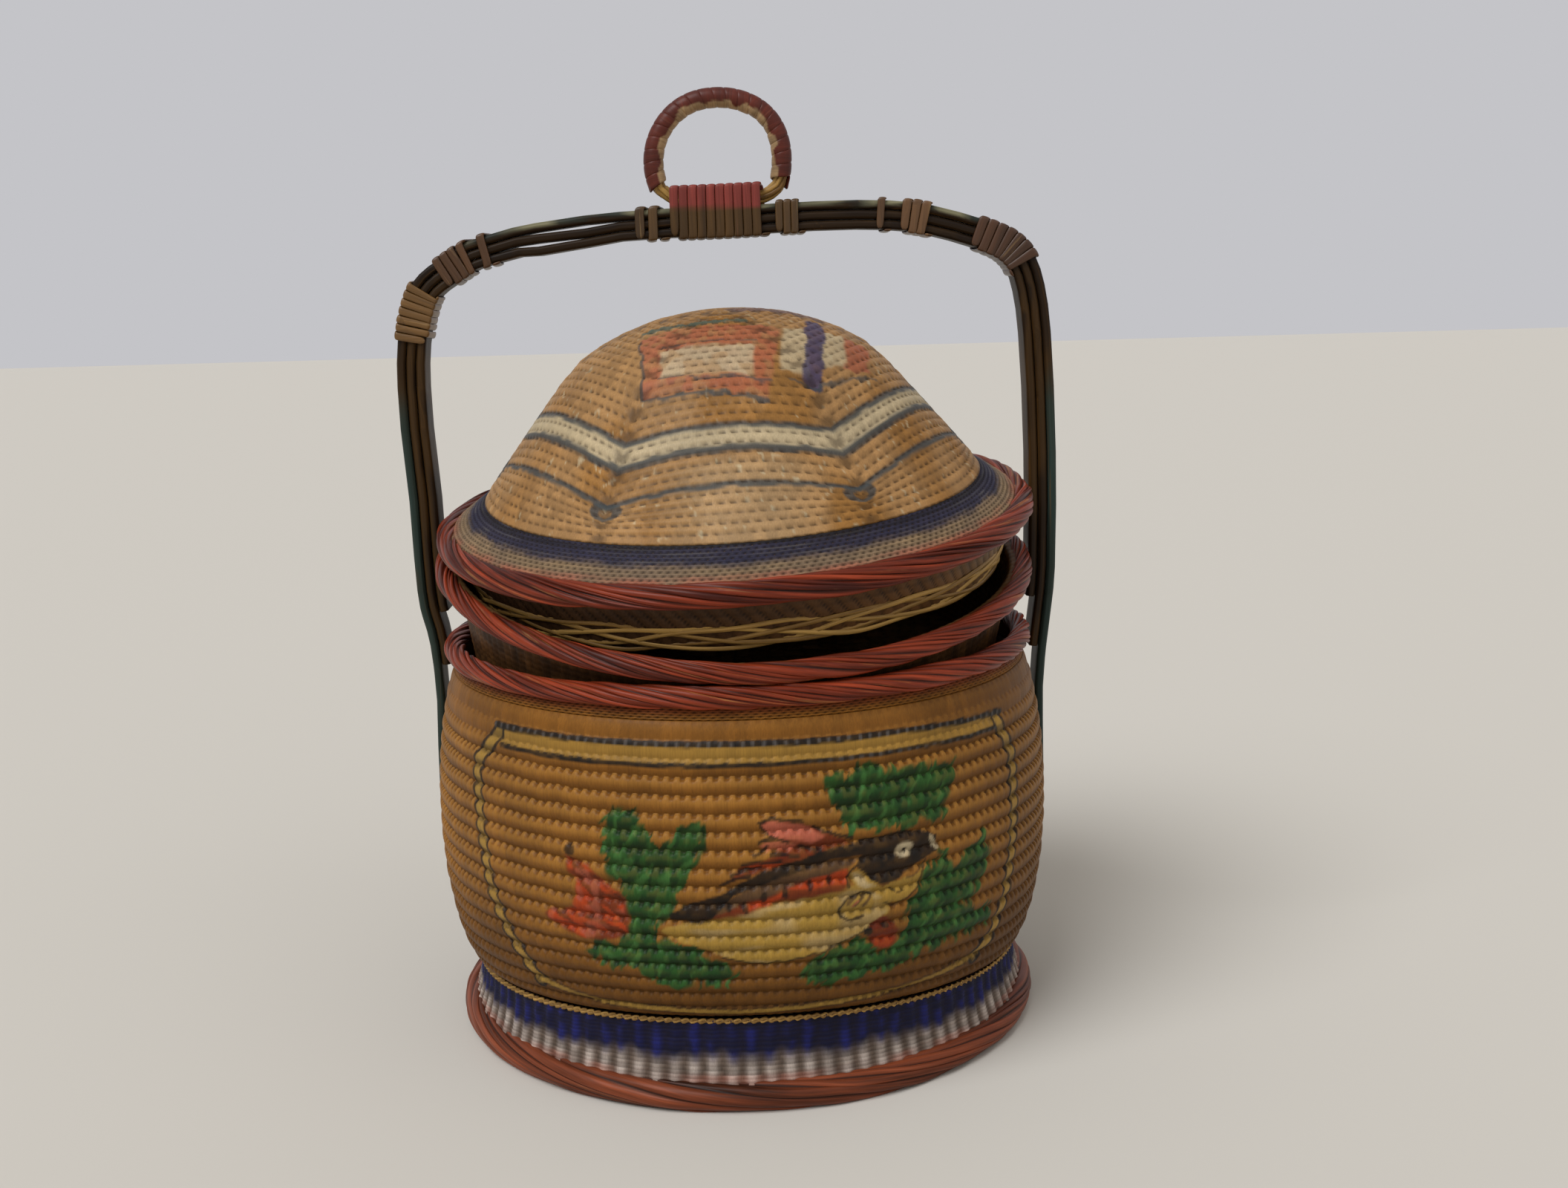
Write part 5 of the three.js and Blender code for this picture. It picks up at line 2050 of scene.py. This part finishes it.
@dataclass
class Studio:
    """Camera at the photograph's angle, pale floor and soft light.

    Lengths are metres, but the focal length is in pixels and the sensor in mm. Lamps are listed by name, the way to
    them from the basket, strength and the angle that they fill in degrees.
    """

    stand: tuple[float, float, float] = (AXIS_X * MM, -1.0642, 0.4511)
    pitch: float = 0.1775
    yaw: float = -0.0275
    roll: float = 0.0254
    focal_px: float = 2300.12
    sensor: float = 36.0
    floor_half: float = 12.0
    floor_hue: str = "#CFCCC6"
    wall_hue: str = "#C4C4C8"
    air_hue: str = "#FFF8EE"
    air: float = 0.42
    lamps: tuple[tuple[str, tuple[float, float, float], float, float], ...] = (
        ("key", (-0.55, -0.6, 1.0), 2.1, 36.0),
        ("fill", (0.9, -0.8, 0.7), 0.3, 60.0),
    )

    def build(self) -> None:
        """Sets the camera, floor, lamps and world."""
        self.camera()
        self.floor()
        for lamp in self.lamps:
            self.lamp(*lamp)
        self.world()
        bpy.context.scene.view_settings.view_transform = "Standard"

    def camera(self) -> None:
        """Camera from the fitted stand, turn and focal length."""
        ahead = Vector((-math.sin(self.yaw), math.cos(self.yaw), 0.0))
        forward = ahead * math.cos(self.pitch) - Vector((0.0, 0.0, math.sin(self.pitch)))
        level = Vector((math.cos(self.yaw), math.sin(self.yaw), 0.0))
        upright = level.cross(forward)
        right = level * math.cos(self.roll) - upright * math.sin(self.roll)
        up = level * math.sin(self.roll) + upright * math.cos(self.roll)
        data = bpy.data.cameras.new("photo_camera")
        data.sensor_width = self.sensor
        data.sensor_fit = "HORIZONTAL"
        data.lens = self.focal_px * self.sensor / PHOTO_WIDTH
        camera = bpy.data.objects.new("photo_camera", data)
        camera.matrix_world = Matrix.Translation(self.stand) @ Matrix((right, up, -forward)).transposed().to_4x4()
        bpy.context.scene.collection.objects.link(camera)
        bpy.context.scene.camera = camera

    def floor(self) -> None:
        """Plain pale floor."""
        bm = bmesh.new()
        bmesh.ops.create_grid(bm, x_segments=1, y_segments=1, size=self.floor_half)
        mesh = bpy.data.meshes.new("floor")
        bm.to_mesh(mesh)
        bm.free()
        # matt and even, so that it shows the basket's shadow and little else
        material, _, _ = principled("matt_pale_floor", {"Base Color": linear(self.floor_hue), "Roughness": 0.8})
        mesh.materials.append(material)
        floor = bpy.data.objects.new("floor", mesh)
        bpy.context.scene.collection.objects.link(floor)

    def lamp(self, name: str, stand: tuple[float, float, float], strength: float, spread: float) -> None:
        """Adds a broad, far lamp, whose light is even over the floor.

        Args:
            name: its name.
            stand: the way to it from the basket.
            strength: its strength.
            spread: angle that it fills, degrees.
        """
        data = bpy.data.lights.new(name, "SUN")
        data.energy = strength
        data.angle = math.radians(spread)
        lamp = bpy.data.objects.new(name, data)
        lamp.rotation_euler = (-Vector(stand)).to_track_quat("-Z", "Y").to_euler()
        bpy.context.scene.collection.objects.link(lamp)

    def world(self) -> None:
        """Even warm air that lights the basket, and a pale grey wall to the eye."""
        world = bpy.data.worlds.new("studio")
        bpy.context.scene.world = world
        world.use_nodes = True
        tree = world.node_tree
        back = tree.nodes["Background"]
        path = add(tree, "ShaderNodeLightPath")
        seen = path.outputs["Is Camera Ray"]
        for ray in ("Is Glossy Ray", "Is Transmission Ray"):
            seen = add(tree, "ShaderNodeMath", {0: seen, 1: path.outputs[ray]}, operation="MAXIMUM").outputs[0]
        strength = add(tree, "ShaderNodeMapRange", {"Value": seen, "To Min": self.air, "To Max": 1.0})
        tree.links.new(blended(tree, seen, linear(self.air_hue), linear(self.wall_hue)), back.inputs["Color"])
        tree.links.new(strength.outputs[0], back.inputs["Strength"])


def main() -> None:
    """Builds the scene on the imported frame."""
    logging.basicConfig(level=logging.INFO, format="%(message)s")
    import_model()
    Studio().build()
    finishes = Finishes.make()
    foot = Foot()
    foot.build(finishes)
    Body().build(finishes, foot)
    Tray().build(finishes)
    Lid().build(finishes)
    Handle().build(finishes)


if __name__ == "__main__":
    main()
